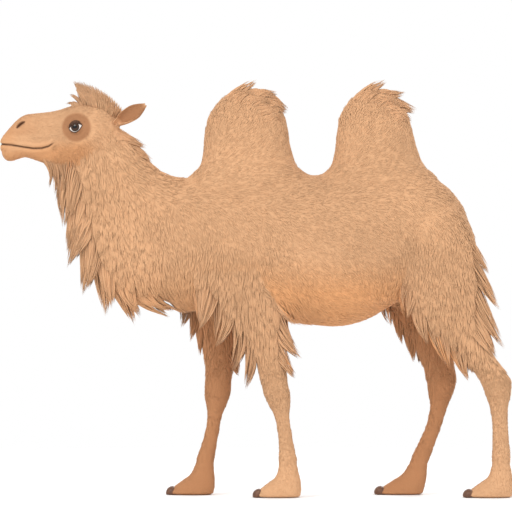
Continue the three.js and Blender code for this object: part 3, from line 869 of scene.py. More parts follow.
# ---- how the coat lies ----
# Places in millimetres (x, distance from the plane of symmetry, z), the way the hair runs there (x,
# outwards, z), and its length in millimetres; first those of the head as it is set out.
HEAD_LIE = [
    ((-1375, 15, 1930), (0.6, 0.2, 0.5), 7),
    ((-1340, 45, 1950), (1, 0, -0.1), 9),
    ((-1350, 30, 1870), (0.9, 0, -0.5), 11),
    ((-1300, 20, 1842), (1, 0, -0.4), 13),
    ((-1290, 45, 1880), (1, 0, -0.3), 12),
    ((-1280, 48, 1990), (1, 0, 0.15), 11),
    ((-1320, 10, 2010), (1, 0, 0.35), 10),
    ((-1200, 10, 2038), (1, 0, 0.15), 15),
    ((-1200, 50, 1960), (1, 0, -0.15), 15),
    ((-1190, 40, 1828), (1, 0, -0.35), 18),
    ((-1184, 10, 1814), (0.8, 0, -0.6), 30),
    ((-1145, 10, 1802), (0.2, 0, -1), 130),
    ((-1100, 66, 1930), (1, 0, -0.3), 17),
    ((-1100, 30, 2058), (1, 0, 0.3), 17),
    ((-1060, 78, 1880), (1, 0, -0.5), 22),
    ((-1055, 84, 1990), (1, 0, -0.1), 13),
    ((-1030, 78, 2066), (0.95, 0, 0.45), 15),
    ((-1035, 20, 2086), (0.8, 0, 0.5), 20),
    ((-1070, 20, 1790), (0.1, 0, -1), 150),
    ((-975, 88, 1990), (1, 0, -0.35), 19),
    ((-970, 90, 1900), (0.8, 0, -0.7), 28),
    ((-1000, 20, 1783), (0.1, 0, -1), 150),
    ((-930, 30, 2103), (0.35, 0, 1), 34),
    ((-910, 80, 2020), (1, 0, -0.2), 18),
    ((-900, 80, 1900), (0.55, 0, -0.9), 40),
    ((-860, 60, 2040), (1, 0, -0.1), 26),
    ((-850, 20, 2085), (0.9, 0, 0.3), 40),
    ((-840, 68, 1950), (0.7, 0, -0.8), 36),
    ((-800, 20, 1990), (0.75, 0, -0.6), 50),
]
LIE = [
    ((-735, 20, 1965), (0.75, 0, -0.6), 56),
    ((-690, 30, 1905), (0.8, 0, -0.5), 58),
    ((-590, 30, 1780), (0.85, 0, -0.4), 54),
    ((-470, 30, 1700), (1, 0, -0.1), 48),
    ((-880, 70, 1830), (0.2, 0, -1), 62),
    ((-960, 60, 1780), (0, 0, -1), 74),
    ((-1015, 15, 1740), (-0.25, 0, -1), 90),
    ((-840, 90, 1680), (0.2, 0, -1), 72),
    ((-940, 60, 1560), (0, 0, -1), 96),
    ((-975, 15, 1520), (-0.1, 0, -1), 120),
    ((-740, 108, 1500), (0.25, 0, -1), 76),
    ((-860, 70, 1330), (0.05, 0, -1), 110),
    ((-640, 140, 1300), (0.25, 0, -1), 74),
    ((-740, 60, 1160), (0.15, 0, -1), 110),
    ((-560, 60, 1070), (0.4, 0, -1), 80),
    ((-540, 170, 1450), (0.45, 0, -0.9), 56),
    ((-400, 30, 1688), (1, 0, -0.05), 40),
    ((-380, 200, 1500), (0.55, 0, -0.85), 48),
    ((-300, 60, 1030), (0.7, 0, -0.7), 44),
    ((-60, 255, 1400), (0.65, 0, -0.75), 42),
    ((0, 60, 990), (1, 0, -0.15), 34),
    ((100, 240, 1150), (0.8, 0, -0.55), 40),
    ((300, 305, 1350), (0.8, 0, -0.6), 36),
    ((320, 60, 1704), (1, 0, -0.1), 32),
    ((330, 60, 955), (1, 0, -0.1), 32),
    ((420, 250, 1080), (0.9, 0, -0.4), 36),
    ((450, 280, 1550), (0.85, 0, -0.45), 34),
    ((650, 280, 1350), (0.75, 0, -0.65), 38),
    ((700, 60, 1050), (1, 0, 0.05), 32),
    ((880, 225, 1560), (0.75, 0, -0.7), 38),
    ((900, 60, 1150), (0.8, 0, 0.2), 30),
    ((1000, 60, 1660), (0.8, 0, -0.6), 44),
    ((1090, 60, 1540), (0.45, 0, -0.9), 54),
    ((1125, 60, 1400), (0.2, 0, -1), 56),
    ((1190, 0, 1400), (0.12, 0, -1), 60),
    ((1196, 0, 1250), (0.05, 0, -1), 90),
    ((1196, 0, 1160), (0, 0, -1), 130),
]
# The same on a hump, with x from its middle.
HUMP_LIE = [
    ((-200, 120, 1740), (1, 0, 0.1), 32),
    ((200, 120, 1740), (1, 0, -0.05), 34),
    ((0, 165, 1760), (1, 0, 0.05), 34),
    ((-215, 20, 1850), (0.2, 0, 1), 30),
    ((210, 20, 1850), (0.2, 0, 1), 34),
    ((0, 135, 1880), (0.8, 0, 0.55), 36),
    ((-200, 20, 1990), (0.25, 0, 1), 36),
    ((200, 20, 1990), (0.35, 0, 1), 40),
    ((0, 105, 2020), (0.55, 0, 0.85), 44),
    ((0, 60, 2110), (0.5, -0.15, 0.9), 48),
    ((0, 5, 2165), (0.6, 0, 0.8), 54),
]
# Down a leg: height, then the length of the hair on a foreleg and on a hind leg.
LEG_HAIR = [
    (1300, 54, 52),
    (1180, 82, 60),
    (1060, 100, 74),
    (940, 108, 92),
    (820, 100, 96),
    (740, 66, 74),
    (680, 34, 40),
    (600, 26, 28),
    (480, 22, 24),
    (330, 21, 21),
    (200, 20, 20),
    (120, 17, 17),
]
# Ways round a leg (share of its thickness behind its middle, share outwards), the run of the hair there
# (x, outwards, z) and how long it is beside the table's.
LEG_ROUND = [
    ((1, 0), (0.3, 0, -1), 1.15),
    ((-1, 0), (-0.22, 0, -1), 1.1),
    ((0, 1), (0.08, 0.04, -1), 1),
    ((0, -1), (0.05, -0.03, -1), 0.6),
]
# On a foot: ahead of its middle, outwards and height, with the run and the length of the hair.
FOOT_LIE = [
    ((60, 0, 120), (-0.6, 0, -0.8), 16),
    ((130, 30, 60), (-1, 0, -0.45), 12),
    ((130, -30, 60), (-1, 0, -0.45), 12),
    ((0, 75, 40), (-0.5, 0, -0.8), 11),
    ((0, -75, 40), (-0.5, 0, -0.8), 11),
    ((-62, 0, 50), (0.1, 0, -1), 13),
]


def lie_table():
    """The places of the coat's lie in metres, with its ways and lengths, on both sides of the body."""
    found = [(enlarged(np.array(place) * MM) / MM, way, long) for place, way, long in HEAD_LIE] + LIE
    for middle in HUMP_MIDDLES.values():
        found += [((x + middle / MM, y, z), way, long) for (x, y, z), way, long in HUMP_LIE]
    both = [
        ((x, side * y, z), (a, side * b, c), long)
        for (x, y, z), (a, b, c), long in found
        for side in SIDES.values()
    ]
    for leg in LEGS:
        height, behind, ahead, half, _ = np.array(leg.rows, float)[::-1].T
        for z, fore, hind in LEG_HAIR:
            x = stance_x(leg.stance, np.array([z], float))[0]
            base = fore if leg.kind == "foreleg" else hind
            for (back, out), (a, b, c), more in LEG_ROUND:
                reach = np.interp(z, height, behind if back > 0 else ahead)
                y = leg.side * (leg.middle + out * np.interp(z, height, half))
                both.append(((x + back * reach, y, z), (a, leg.side * b, c), more * base))
        x = stance_x(leg.stance, np.zeros(1))[0]
        for (front, out, z), (a, b, c), long in FOOT_LIE:
            both.append(((x - front, leg.side * (leg.middle + out), z), (a, leg.side * b, c), long))
    places, ways, lengths = (np.array(column, float) for column in zip(*both))
    return places * MM, unit(ways), lengths * MM


LIE_PLACES, LIE_WAYS, LIE_LENGTHS = lie_table()
LIE_BATCH = 20000  # how many points are looked up at a time


def lie(points, normals):
    """The way the hair runs along the hide at points, and its length."""
    ways = np.empty_like(points)
    lengths = np.empty(len(points))
    for start in range(0, len(points), LIE_BATCH):
        part = slice(start, start + LIE_BATCH)
        here = points[part]
        apart = np.sum(here**2, 1)[:, None] + np.sum(LIE_PLACES**2, 1) - 2 * here @ LIE_PLACES.T
        weight = 1 / (np.maximum(apart, 0) + 0.0003) ** 2
        total = weight.sum(1)
        ways[part] = weight @ LIE_WAYS / total[:, None]
        lengths[part] = weight @ LIE_LENGTHS / total
    ways -= normals * np.sum(ways * normals, axis=1, keepdims=True)
    face = set_out(points)
    up, _ = ear_share(face)
    for side in SIDES.values():
        _, along, _, _ = ear_axes(side)
        on_ear = (up > 0) & (points[:, 1] * side > 0)
        ways[on_ear] = (along - normals * (normals @ along)[:, None])[on_ear]
    lengths = np.where(up > 0, np.minimum(lengths, 0.008), lengths)
    lengths = np.minimum(lengths, 0.009 + 0.9 * np.maximum(root_apart(face) - 0.036, 0))
    distance, level, rise, _, _ = eye_angles(face)
    ball = EYE["radius"] * MM
    upper, lower = lid_edges(level)
    margin = np.maximum(rise - upper, lower - rise) * ball * math.pi / 180
    near_eye = 0.0034 + 0.25 * np.maximum(margin, 0) + 3 * np.maximum(distance - 1.9 * ball, 0)
    gap, mouth = mouth_gap(face)
    near_lips = 0.005 + 0.2 * np.abs(gap) + (1 - mouth)
    along, across = nostril_place(face)
    near_nose = 0.0035 + 0.25 * np.hypot(np.maximum(np.abs(along) - 0.02, 0), across)
    head = head_side(points) > 0
    limit = np.minimum(np.minimum(near_eye, near_lips), near_nose)
    return unit(ways), np.where(head, np.minimum(lengths, limit), lengths)


def bare(points, normals):
    """Where no hair grows: on the eyes and lid edges, in nostrils and mouth, on the soles."""
    face = set_out(points)
    distance, level, rise, _, _ = eye_angles(face)
    upper, lower = lid_edges(level)
    eye = (distance < 1.4 * EYE["radius"] * MM) & (np.minimum(upper - rise, rise - lower) > -4)
    along, across = nostril_place(face)
    slit = (np.abs(along) < 0.025) & (np.abs(across) < 0.008)
    nose = slit & (np.abs(face[:, 1]) > 0.01) & (face[:, 0] < -1.23)
    gap, mouth = mouth_gap(face)
    lips = (np.abs(gap) < 0.0035) & (mouth > 0.1) & (face[:, 2] > 1.85) & (face[:, 0] < -1.18)
    sole = (points[:, 2] < 0.008) | ((points[:, 2] < 0.03) & (normals[:, 2] < -0.4))
    up, into = ear_share(face)
    turned = np.sum(normals * (np.sign(points[:, 1:2]) * (0, 1, 0) + (1, 0, 1)) * ear_axes(1)[2], axis=1)
    ear = (up > 0) & ((up < 0.1) | (into > -0.6 * EAR["wall"] * MM) | (turned > -0.5))
    return eye | nose | lips | sole | ear


# ---- the coat ----
HIDE = {}


def hide():
    """What the coat needs to know of the finished hide."""
    if not HIDE:
        mesh = bpy.data.objects["skin"].data
        mesh.calc_loop_triangles()
        corners = np.empty(len(mesh.loop_triangles) * 3, int)
        mesh.loop_triangles.foreach_get("vertices", corners)
        HIDE["points"] = points = vectors(mesh, "co")
        HIDE["normals"] = vectors(mesh, "normal")
        HIDE["corners"] = corners = corners.reshape(-1, 3)
        a, b, c = (points[corners[:, k]] for k in range(3))
        HIDE["areas"] = np.linalg.norm(np.cross(b - a, c - a), axis=1) / 2
        HIDE["middles"] = (a + b + c) / 3
        HIDE["regions"] = regions(HIDE["middles"])
        HIDE["tree"] = BVHTree.FromPolygons(points.tolist(), corners.tolist())
    return HIDE


def roots(take, spacing, dice):
    """Roots over the hide where take is true, about one to each square of the spacing."""
    known = hide()
    middles = known["middles"]
    chosen = np.flatnonzero(take(middles, known["regions"]))
    apart = spacing(middles[chosen]) if callable(spacing) else spacing
    wanted = known["areas"][chosen] / np.broadcast_to(apart, len(chosen)) ** 2
    ends = np.cumsum(wanted)
    count = max(int(ends[-1]), 1)
    spots = (np.arange(count) + dice.random(count)) * ends[-1] / count
    picks = chosen[np.searchsorted(ends, spots).clip(0, len(chosen) - 1)]
    a, b = dice.random((2, count))
    over = a + b > 1
    a, b = np.where(over, 1 - a, a)[:, None], np.where(over, 1 - b, b)[:, None]
    first, second, third = known["corners"][picks].T
    points, normals = (
        values[first] * (1 - a - b) + values[second] * a + values[third] * b
        for values in (known["points"], known["normals"])
    )
    keep = ~bare(points, normals)
    return points[keep], unit(normals[keep])


def off_hide(points, least):
    """Points moved out of the hide, to at least the given distance above it."""
    tree = hide()["tree"]
    moved = points.copy()
    for i, (point, wanted) in enumerate(zip(points, least)):
        found, normal, _, _ = tree.find_nearest(Vector(point))
        height = (Vector(point) - found).dot(normal)
        if height < wanted:
            moved[i] = found + normal * wanted
    return moved


def onto_hide(points):
    tree = hide()["tree"]
    found = [tree.find_nearest(Vector(point)) for point in points]
    return np.array([place for place, _, _, _ in found]), np.array([normal for _, normal, _, _ in found])


def marched(points, normals, lengths, ways, lift, droop, steps=6):
    """Paths that leave the hide at a slant and fall along it."""
    heading = unit(ways + normals * lift)
    path = [points]
    for step in range(1, steps):
        heading = unit(heading + np.array((0, 0, -1)) * droop / steps)
        ahead = path[-1] + heading * (lengths / (steps - 1))[:, None]
        path.append(off_hide(ahead, lengths * 0.09 * step / (steps - 1)))
        heading = unit(heading * 0.4 + unit(path[-1] - path[-2]) * 0.6)
    return np.stack(path, axis=1)


WAD_REACH = 1.07  # a wad's few foremost hairs reach a little past its tip


def wads(table, rows, upright=False, steps=6):
    """Paths of pointed wads along the hair, or upright. Ranks are (root's y, tip's y, x and z added)."""
    paths = []
    starts, ends = [], []
    for (root_x, root_z), (tip_x, tip_z) in table:
        for root_y, tip_y, more_x, more_z in rows:
            starts.append((root_x + more_x, root_y, root_z + more_z * 0.5))
            ends.append((tip_x + more_x, tip_y, tip_z + more_z))
    starts, ends = np.array(starts, float) * MM, np.array(ends, float) * MM
    places, normals = onto_hide(starts)
    ends = places + (ends - places) * WAD_REACH
    size = np.linalg.norm(ends - places, axis=1, keepdims=True)
    ways = (ends - places) / size if upright else lie(places, normals)[0]
    bend = places + unit(ways + normals * (1.0 if upright else 0.35)) * size * 0.5
    for share in np.linspace(0, 1, steps):
        paths.append(places * (1 - share) ** 2 + bend * 2 * share * (1 - share) + ends * share**2)
    paths = np.stack(paths, axis=1)
    flat = off_hide(paths.reshape(-1, 3), np.tile(np.linspace(0, 0.012, steps), len(places)))
    return flat.reshape(paths.shape)


def gathered(table, beside=0.34, drawn=0.3, short=0.9):
    """Wads in threes, so that each is broad at its root and the outer two lean on the middle one's tip."""
    wads_in_row = np.array(table, float)
    whole = []
    for (root, tip), step in zip(wads_in_row, np.gradient(wads_in_row[:, 0], axis=0)):
        for lean in (-beside, 0, beside):
            reach = short if lean else 1
            whole.append((root + step * lean, root + (tip - root) * reach + step * lean * drawn))
    return whole


def spread(table, count):
    """Wads evenly between those of a table."""
    flat = spline(np.array(table, float).reshape(-1, 4), np.linspace(0, len(table) - 1, count))
    return list(flat.reshape(-1, 2, 2))


def along_path(paths, share):
    """Points of paths at shares of their length (paths x places)."""
    last = paths.shape[1] - 1
    spot = np.clip(share, 0, 1) * last
    low = np.minimum(spot.astype(int), last - 1)
    rest = (spot - low)[..., None]
    rows = np.arange(len(paths))[:, None]
    return paths[rows, low] * (1 - rest) + paths[rows, low + 1] * rest


def nearest(points, places):
    """For each point, the number of the nearest place, and how far it is."""
    tree = KDTree(len(places))
    for i, place in enumerate(places):
        tree.insert(Vector(place), i)
    tree.balance()
    found = [tree.find(Vector(point)) for point in points]
    return np.array([number for _, number, _ in found]), np.array([distance for _, _, distance in found])


def long_coat(
    take,
    spacing,
    dice,
    fringe,
    width,
    guides_apart=0.03,
    clump=0.5,
    droop=0.0,
    reach=0.05,
    tight=(0.9, 0.5),
    upright=False,
):
    """Locks of long coat, drawn by the share clump into wads that follow guides.

    Those within reach of the fringe follow it instead; tight is the share by which they are drawn
    together and the least share of its length that they have. Upright locks are those of the mop, and
    face away from its middle.
    """
    guide_roots, guide_normals = roots(take, guides_apart, dice)
    ways, lengths = lie(guide_roots, guide_normals)
    ways = unit(ways + dice.normal(0, 0.05, ways.shape))
    grown = lengths * dice.uniform(0.85, 1.1, len(lengths))
    guides = marched(guide_roots, guide_normals, grown, ways, LONG_LIFT, droop)
    _, apart = nearest(guide_roots, fringe[:, 0])
    guides = np.concatenate([fringe, guides[apart > reach]])
    points, normals = roots(take, spacing, dice)
    guide, _ = nearest(points, guides[:, 0])
    own = guides[guide]
    share = np.linspace(0, 1, LONG_LEVELS)
    fringed = guide < len(fringe)
    _, own_length = lie(points, normals)
    guide_length = np.linalg.norm(np.diff(own, axis=1), axis=2).sum(1)
    usual = np.clip(own_length / guide_length, 0.5, 1.25) * dice.uniform(0.7, 1.0, len(points))
    scale = np.where(fringed, dice.uniform(tight[1], 1.0, len(points)), usual)
    paths = along_path(own, share[None, :] * scale[:, None])
    drawn = np.where(fringed, tight[0], clump)[:, None]
    pull = drawn * smooth(0.05, 1.0, share[None, :] * scale[:, None] ** 0.5)
    paths += (points - own[:, 0])[:, None, :] * (1 - pull)[..., None]
    side = unit(np.cross(own[:, -1] - own[:, 0], normals))
    phase = (guide * 2.4 + dice.normal(0, 0.7, len(points)))[:, None]
    waves = dice.uniform(6, 10, (len(points), 1))
    sway = np.sin(phase + share[None, :] * scale[:, None] * waves) * share * 0.0025
    stray = dice.normal(0, 0.0022, (len(points), 1, 3)) * share[None, :, None]
    paths += side[:, None, :] * sway[..., None] + stray
    for level in range(1, LONG_LEVELS):
        paths[:, level] = off_hide(paths[:, level], np.full(len(points), 0.002 + 0.006 * share[level]))
    paths[:, 0] -= normals * 0.003
    widths = width * np.clip(own_length / LONG_HAIR, 0.6, 1) * dice.uniform(0.75, 1.2, len(points))
    if upright:
        normals = unit((points - CREST_MIDDLE) * (1.6, 2.0, 0) + (0, 0, 0.06))
    return locks(paths, widths, normals, dice, np.where(fringed | upright, STANDING, LAID), LONG_PAINTED_LIGHT)


def short_coat(take, spacing, dice, width, clump, levels=3, longest=1.0):
    """Locks of short coat that lie along the hide, their tips drawn a little together."""
    points, normals = roots(take, spacing, dice)
    ways, lengths = lie(points, normals)
    lengths = np.minimum(lengths, longest) * dice.uniform(0.72, 1.1, len(points))
    ways = unit(ways + dice.normal(0, 0.12, ways.shape))
    ways = unit(ways - normals * np.sum(ways * normals, 1, keepdims=True))
    slant = dice.uniform(*SHORT_LIFT, len(points))[:, None]
    share = np.linspace(0, 1, levels)[None, :, None]
    run = lengths[:, None, None]
    raised = normals[:, None, :] * run * slant[:, None] * share**0.7
    paths = points[:, None, :] + ways[:, None, :] * run * share + raised
    centres = dice.permutation(len(points))[: max(len(points) // 9, 1)]
    centre, apart = nearest(points, points[centres])
    tips = paths[centres][centre] - paths
    drawn = clump * np.clip(1.6 - apart / np.maximum(lengths, 1e-4), 0, 1) * ~on_ear(points)
    drawn = drawn[:, None, None] * share**1.6
    paths += (tips - normals[:, None, :] * np.sum(tips * normals[:, None, :], axis=2, keepdims=True)) * drawn
    paths[:, 0] = points - normals * np.minimum(lengths * 0.08, 0.003)[:, None]
    return locks(paths, width(lengths) * dice.uniform(0.8, 1.2, len(points)), normals, dice, LAID)


LOCK_WIDTH = ((0, 0.35, 0.7, 0.88, 1), (0.75, 1.0, 0.7, 0.42, 0))  # places along a lock, and its width there
LOCK_THICK = 0.25
LAID = 1.2  # how much the shading of a lock that lies on the hide follows it, and that of one in a wad
STANDING = 0.5
CREST_MIDDLE = np.array((-0.87, 0, 2.1))  # what the mop's locks face away from
SHORT_LIFT = (0.07, 0.15)  # the least and the most that short coat rises, as a share of its length
LONG_LEVELS = 5  # how many points a path of long coat has
LONG_LIFT = 0.14  # how steeply long coat leaves the hide
LONG_PAINTED_LIGHT = 0.5  # painted light: how much lighter the tint of long coat is, against the shade that its own locks cast
LONG_HAIR = 0.085  # length of the hair, in metres, whose locks have their full width


def locks(paths, widths, normals, dice, follow, painted_light=0.0):
    """Closed three-sided locks along paths, as arrays of points, faces, chart and strand places and tints."""
    count, levels, _ = paths.shape
    paths[..., 2] = np.maximum(paths[..., 2], 0.0015)
    runs = unit(np.gradient(paths, axis=1))
    across = unit(np.cross(runs, normals[:, None, :]) + 1e-6)
    outward = np.cross(across, runs)
    share = np.linspace(0, 1, levels)[:-1]
    size = widths[:, None] * np.interp(share, *LOCK_WIDTH)[None, :] / 2
    ring = []
    for turn in np.radians((90, 210, 330)):
        sideways = across[:, :-1] * (math.cos(turn) * size)[..., None]
        raised = outward[:, :-1] * (math.sin(turn) * size * LOCK_THICK * 2)[..., None]
        ring.append(paths[:, :-1] + sideways + raised)
    ring = np.stack(ring, axis=2).reshape(count, -1, 3)
    points = np.concatenate([ring, paths[:, -1:]], axis=1)
    each = points.shape[1]
    tip = each - 1
    faces = [(0, 1, 2)]
    for level in range(levels - 2):
        a, b = 3 * level, 3 * level + 3
        for k in range(3):
            m = (k + 1) % 3
            faces += [(a + k, b + k, a + m), (a + m, b + k, b + m)]
    last = 3 * (levels - 2)
    faces += [(last + k, tip, last + (k + 1) % 3) for k in range(3)]
    faces = (np.array(faces)[None] + np.arange(count)[:, None, None] * each).reshape(-1, 3)
    up = np.append(np.repeat(share, 3), 1.0)
    beside = np.append(np.tile((0, 0.5, 1.0), levels - 1), 0.5)
    base = chart(paths[:, 1], regions(paths[:, 0]))
    chart_place = base[:, None, :] + np.stack([beside, up], 1)[None] * CHART["patch"]
    strand_x = beside[None] + dice.integers(0, 40, (count, 1))
    strand_y = up[None] + dice.random((count, 1)) * 20
    strand = np.stack([strand_x, strand_y], axis=2)
    # Each lock's tint: a random tone of its own, raised for long coat as painted light.
    tint = painted_light + dice.normal(0, 0.5, (count, 1)).clip(-1, 1) + np.zeros((1, each))
    return {
        "points": points.reshape(-1, 3),
        "faces": faces,
        "chart": chart_place.reshape(-1, 2),
        "strand": strand.reshape(-1, 2),
        "tint": tint.ravel(),
        "tip": np.broadcast_to(up, (count, each)).ravel(),
        "root": np.repeat(paths[:, 1], each, axis=0),
        "outward": np.repeat(normals * np.reshape(follow, (-1, 1)), each, axis=0),
    }


def coat_piece(name, batches, material):
    """One piece of coat from batches of locks."""
    shift = np.cumsum([0] + [len(batch["points"]) for batch in batches])
    faces = np.concatenate([batch["faces"] + start for batch, start in zip(batches, shift)])
    whole = {key: np.concatenate([batch[key] for batch in batches]) for key in batches[0] if key != "faces"}
    mesh = bpy.data.meshes.new(name)
    mesh.vertices.add(len(whole["points"]))
    mesh.loops.add(faces.size)
    mesh.polygons.add(len(faces))
    mesh.vertices.foreach_set("co", whole["points"].ravel())
    mesh.loops.foreach_set("vertex_index", faces.ravel())
    mesh.polygons.foreach_set("loop_start", np.arange(0, faces.size, 3))
    mesh.update(calc_edges=True)
    for layer, key in (("OFBake", "chart"), ("Strand", "strand")):
        mesh.uv_layers.new(name=layer).data.foreach_set("uv", whole[key][faces.ravel()].ravel())
    mesh.polygons.foreach_set("use_smooth", np.ones(len(faces), bool))
    own = np.empty(whole["points"].size)
    mesh.vertices.foreach_get("normal", own)
    mesh.normals_split_custom_set_from_vertices(unit(own.reshape(-1, 3) + whole["outward"]))
    marked(mesh, whole["root"])
    attribute(mesh, "tint", whole["tint"])
    attribute(mesh, "tip", whole["tip"])
    mesh.materials.append(material)
    obj = linked(name, mesh)
    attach(obj, BODY)
    return obj


# Long pointed wads: (root x, root z), (tip x, tip z), in millimetres.
NECK_WADS = [
    ((-1150, 1800), (-1124, 1662)),
    ((-1100, 1780), (-1086, 1602)),
    ((-1024, 1712), (-1040, 1456)),
    ((-985, 1540), (-1026, 1320)),
    ((-965, 1470), (-1020, 1245)),
    ((-925, 1320), (-942, 1088)),
    ((-855, 1215), (-816, 982)),
    ((-760, 1135), (-664, 934)),
    ((-645, 1085), (-480, 966)),
    ((-520, 1070), (-376, 975)),
]
NAPE_WADS = [
    ((-770, 2050), (-668, 1978)),
    ((-740, 1998), (-634, 1925)),
    ((-700, 1945), (-590, 1898)),
    ((-650, 1890), (-560, 1822)),
]
# The mop on the crown: its points in front, then its mass, from the brow back to the poll.
CREST_POINTS = [
    ((-962, 2110), (-1022, 2122)),
    ((-952, 2116), (-1012, 2172)),
    ((-930, 2120), (-986, 2240)),
]
CREST_MASS = [
    ((-905, 2122), (-960, 2238)),
    ((-872, 2120), (-912, 2230)),
    ((-838, 2112), (-860, 2208)),
    ((-804, 2094), (-808, 2176)),
    ((-776, 2068), (-760, 2136)),
    ((-756, 2036), (-718, 2092)),
]
HUMP_WADS = [((-60, 2182), (52, 2252)), ((40, 2150), (160, 2186)), ((104, 2090), (226, 2094))]
# Those of the legs, ahead of each leg and behind it.
LEG_WADS = {
    "foreleg_left": (
        [
            ((-250, 1120), (-308, 919)),
            ((-190, 1010), (-222, 828)),
            ((-128, 895), (-134, 688)),
            ((-70, 800), (-58, 604)),
        ],
        [
            ((130, 1240), (262, 1076)),
            ((142, 1090), (246, 947)),
            ((146, 930), (244, 770)),
            ((148, 800), (212, 662)),
        ],
    ),
    "foreleg_right": (
        [((-370, 1090), (-406, 930)), ((-345, 990), (-358, 852)), ((-320, 920), (-304, 770))],
        [
            ((20, 1240), (118, 1076)),
            ((-20, 1090), (34, 947)),
            ((-60, 930), (-30, 773)),
            ((-110, 800), (-90, 665)),
        ],
    ),
    "hindleg_left": (
        [
            ((800, 1120), (811, 974)),
            ((845, 1010), (919, 844)),
            ((950, 905), (1033, 714)),
            ((1060, 805), (1136, 649)),
        ],
        [
            ((1130, 1540), (1176, 1412)),
            ((1184, 1390), (1254, 1220)),
            ((1200, 1235), (1306, 1034)),
            ((1206, 1085), (1330, 826)),
            ((1190, 950), (1290, 770)),
        ],
    ),
    "hindleg_right": (
        [((690, 1050), (735, 925)), ((735, 950), (795, 833)), ((800, 860), (855, 741))],
        [
            ((1130, 1540), (1176, 1412)),
            ((1150, 1370), (1200, 1222)),
            ((1085, 1200), (1150, 1038)),
            ((1020, 1010), (1110, 833)),
        ],
    ),
}
TAIL_WADS = [((1200, 1250), (1212, 1105)), ((1200, 1190), (1206, 1050)), ((1190, 1160), (1196, 1020))]


# ---- finishes ----
def node(tree, kind, inputs, **settings):
    """A shader node with its settings and its sockets set or linked."""
    made = tree.nodes.new(kind)
    for name, value in settings.items():
        setattr(made, name, value)
    for socket, value in inputs.items():
        if isinstance(value, bpy.types.NodeSocket):
            tree.links.new(value, made.inputs[socket])
        else:
            made.inputs[socket].default_value = value
    return made


def blended(tree, share, first, second, how="MIX"):
    mix = node(tree, "ShaderNodeMix", {0: share, 6: first, 7: second}, data_type="RGBA", blend_type=how)
    return mix.outputs[2]


def read(tree, name):
    return node(tree, "ShaderNodeAttribute", {}, attribute_name=name).outputs["Fac"]


def ranged(tree, value, low, high, to_low, to_high):
    names = ("Value", "From Min", "From Max", "To Min", "To Max")
    inputs = dict(zip(names, (value, low, high, to_low, to_high)))
    return node(tree, "ShaderNodeMapRange", inputs).outputs["Result"]


def noise(tree, place, scale, detail=2.0, stretch=(1, 1, 1)):
    mapped = node(tree, "ShaderNodeMapping", {"Vector": place, "Scale": stretch}).outputs["Vector"]
    inputs = {"Vector": mapped, "Scale": scale, "Detail": detail}
    return node(tree, "ShaderNodeTexNoise", inputs).outputs["Fac"]


def relief(tree, shader, height, strength, distance):
    """Gives a finish a fine relief."""
    lift = node(tree, "ShaderNodeBump", {"Height": height, "Strength": strength, "Distance": distance})
    tree.links.new(lift.outputs["Normal"], shader.inputs["Normal"])


def finish_named(name, roughness):
    """A new finish, with its tree, its shader and the object's own coordinates."""
    material = bpy.data.materials.new(name)
    material.use_nodes = True
    tree = material.node_tree
    shader = tree.nodes["Principled BSDF"]
    shader.inputs["Roughness"].default_value = roughness
    return material, tree, shader, node(tree, "ShaderNodeTexCoord", {}).outputs["Object"]


def camel_colour(tree, place, colours):
    """The camel's colouring from its markings, with painted shade and painted light among them, soft patches,
    and each lock painted darker at its root as shade.
    """
    broad = noise(tree, place, 2.6, 3)
    fine = noise(tree, place, 34, 3)
    patches = ranged(tree, broad, 0.35, 0.65, 0, 1)
    colour = blended(tree, patches, rgba(colours.tan, 0.93), rgba(colours.tan, 1.06))
    colour = blended(tree, read(tree, "warm"), colour, rgba(colours.belly))
    colour = blended(tree, read(tree, "brown"), colour, rgba(colours.brown))
    colour = blended(tree, ranged(tree, fine, 0.3, 0.7, 0, 0.16), colour, rgba(colours.brown))
    # Painted shade: each lock is darker at its root and lighter at its tip, as the shade among the locks; its
    # own random tint and the painted light of long coat add to this.
    tones = {0: read(tree, "tip"), 1: read(tree, "tint")}
    light = node(tree, "ShaderNodeMath", tones, operation="ADD").outputs[0]
    level = ranged(tree, light, -1.0, 2.0, 0.86, 1.1)
    channels = {"Red": level, "Green": level, "Blue": level}
    grey = node(tree, "ShaderNodeCombineColor", channels).outputs["Color"]
    colour = blended(tree, 1.0, colour, grey, "MULTIPLY")
    return blended(tree, read(tree, "dark"), colour, rgba(colours.dark))


def rgba(colour, times=1.0):
    return [min(channel * times, 1.0) for channel in colour[:3]] + [1.0]


def wool_finish(colours):
    """Dry wool: fibres along each lock, a faint sheen and matt all over."""
    material, tree, shader, place = finish_named("Camel wool", 0.85)
    strand = node(tree, "ShaderNodeUVMap", {}, uv_map="Strand").outputs["UV"]
    fibres = noise(tree, strand, 1, 3, (7, 1.2, 1))
    tree.links.new(camel_colour(tree, place, colours), shader.inputs["Base Color"])
    tree.links.new(ranged(tree, fibres, 0.3, 0.7, 0.76, 0.95), shader.inputs["Roughness"])
    relief(tree, shader, fibres, 0.5, 0.002)
    shader.inputs["Specular IOR Level"].default_value = 0.25
    shader.inputs["Sheen Weight"].default_value = 0.12
    shader.inputs["Sheen Roughness"].default_value = 0.5
    return material


def hide_finish(colours):
    """The hide with its flat short hair as fine relief, and bare skin where it is dark."""
    material, tree, shader, place = finish_named("Camel hide", 0.8)
    level_hairs = noise(tree, place, 150, 3, (0.14, 1, 1))
    hanging_hairs = noise(tree, place, 150, 3, (1, 1, 0.14))
    hairs = blended(tree, read(tree, "hang"), level_hairs, hanging_hairs)
    pores = noise(tree, place, 420, 2)
    height = blended(tree, read(tree, "dark"), hairs, pores)
    tree.links.new(camel_colour(tree, place, colours), shader.inputs["Base Color"])
    tree.links.new(ranged(tree, read(tree, "dark"), 0, 1, 0.86, 0.52), shader.inputs["Roughness"])
    relief(tree, shader, height, 0.55, 0.0025)
    shader.inputs["Specular IOR Level"].default_value = 0.3
    return material


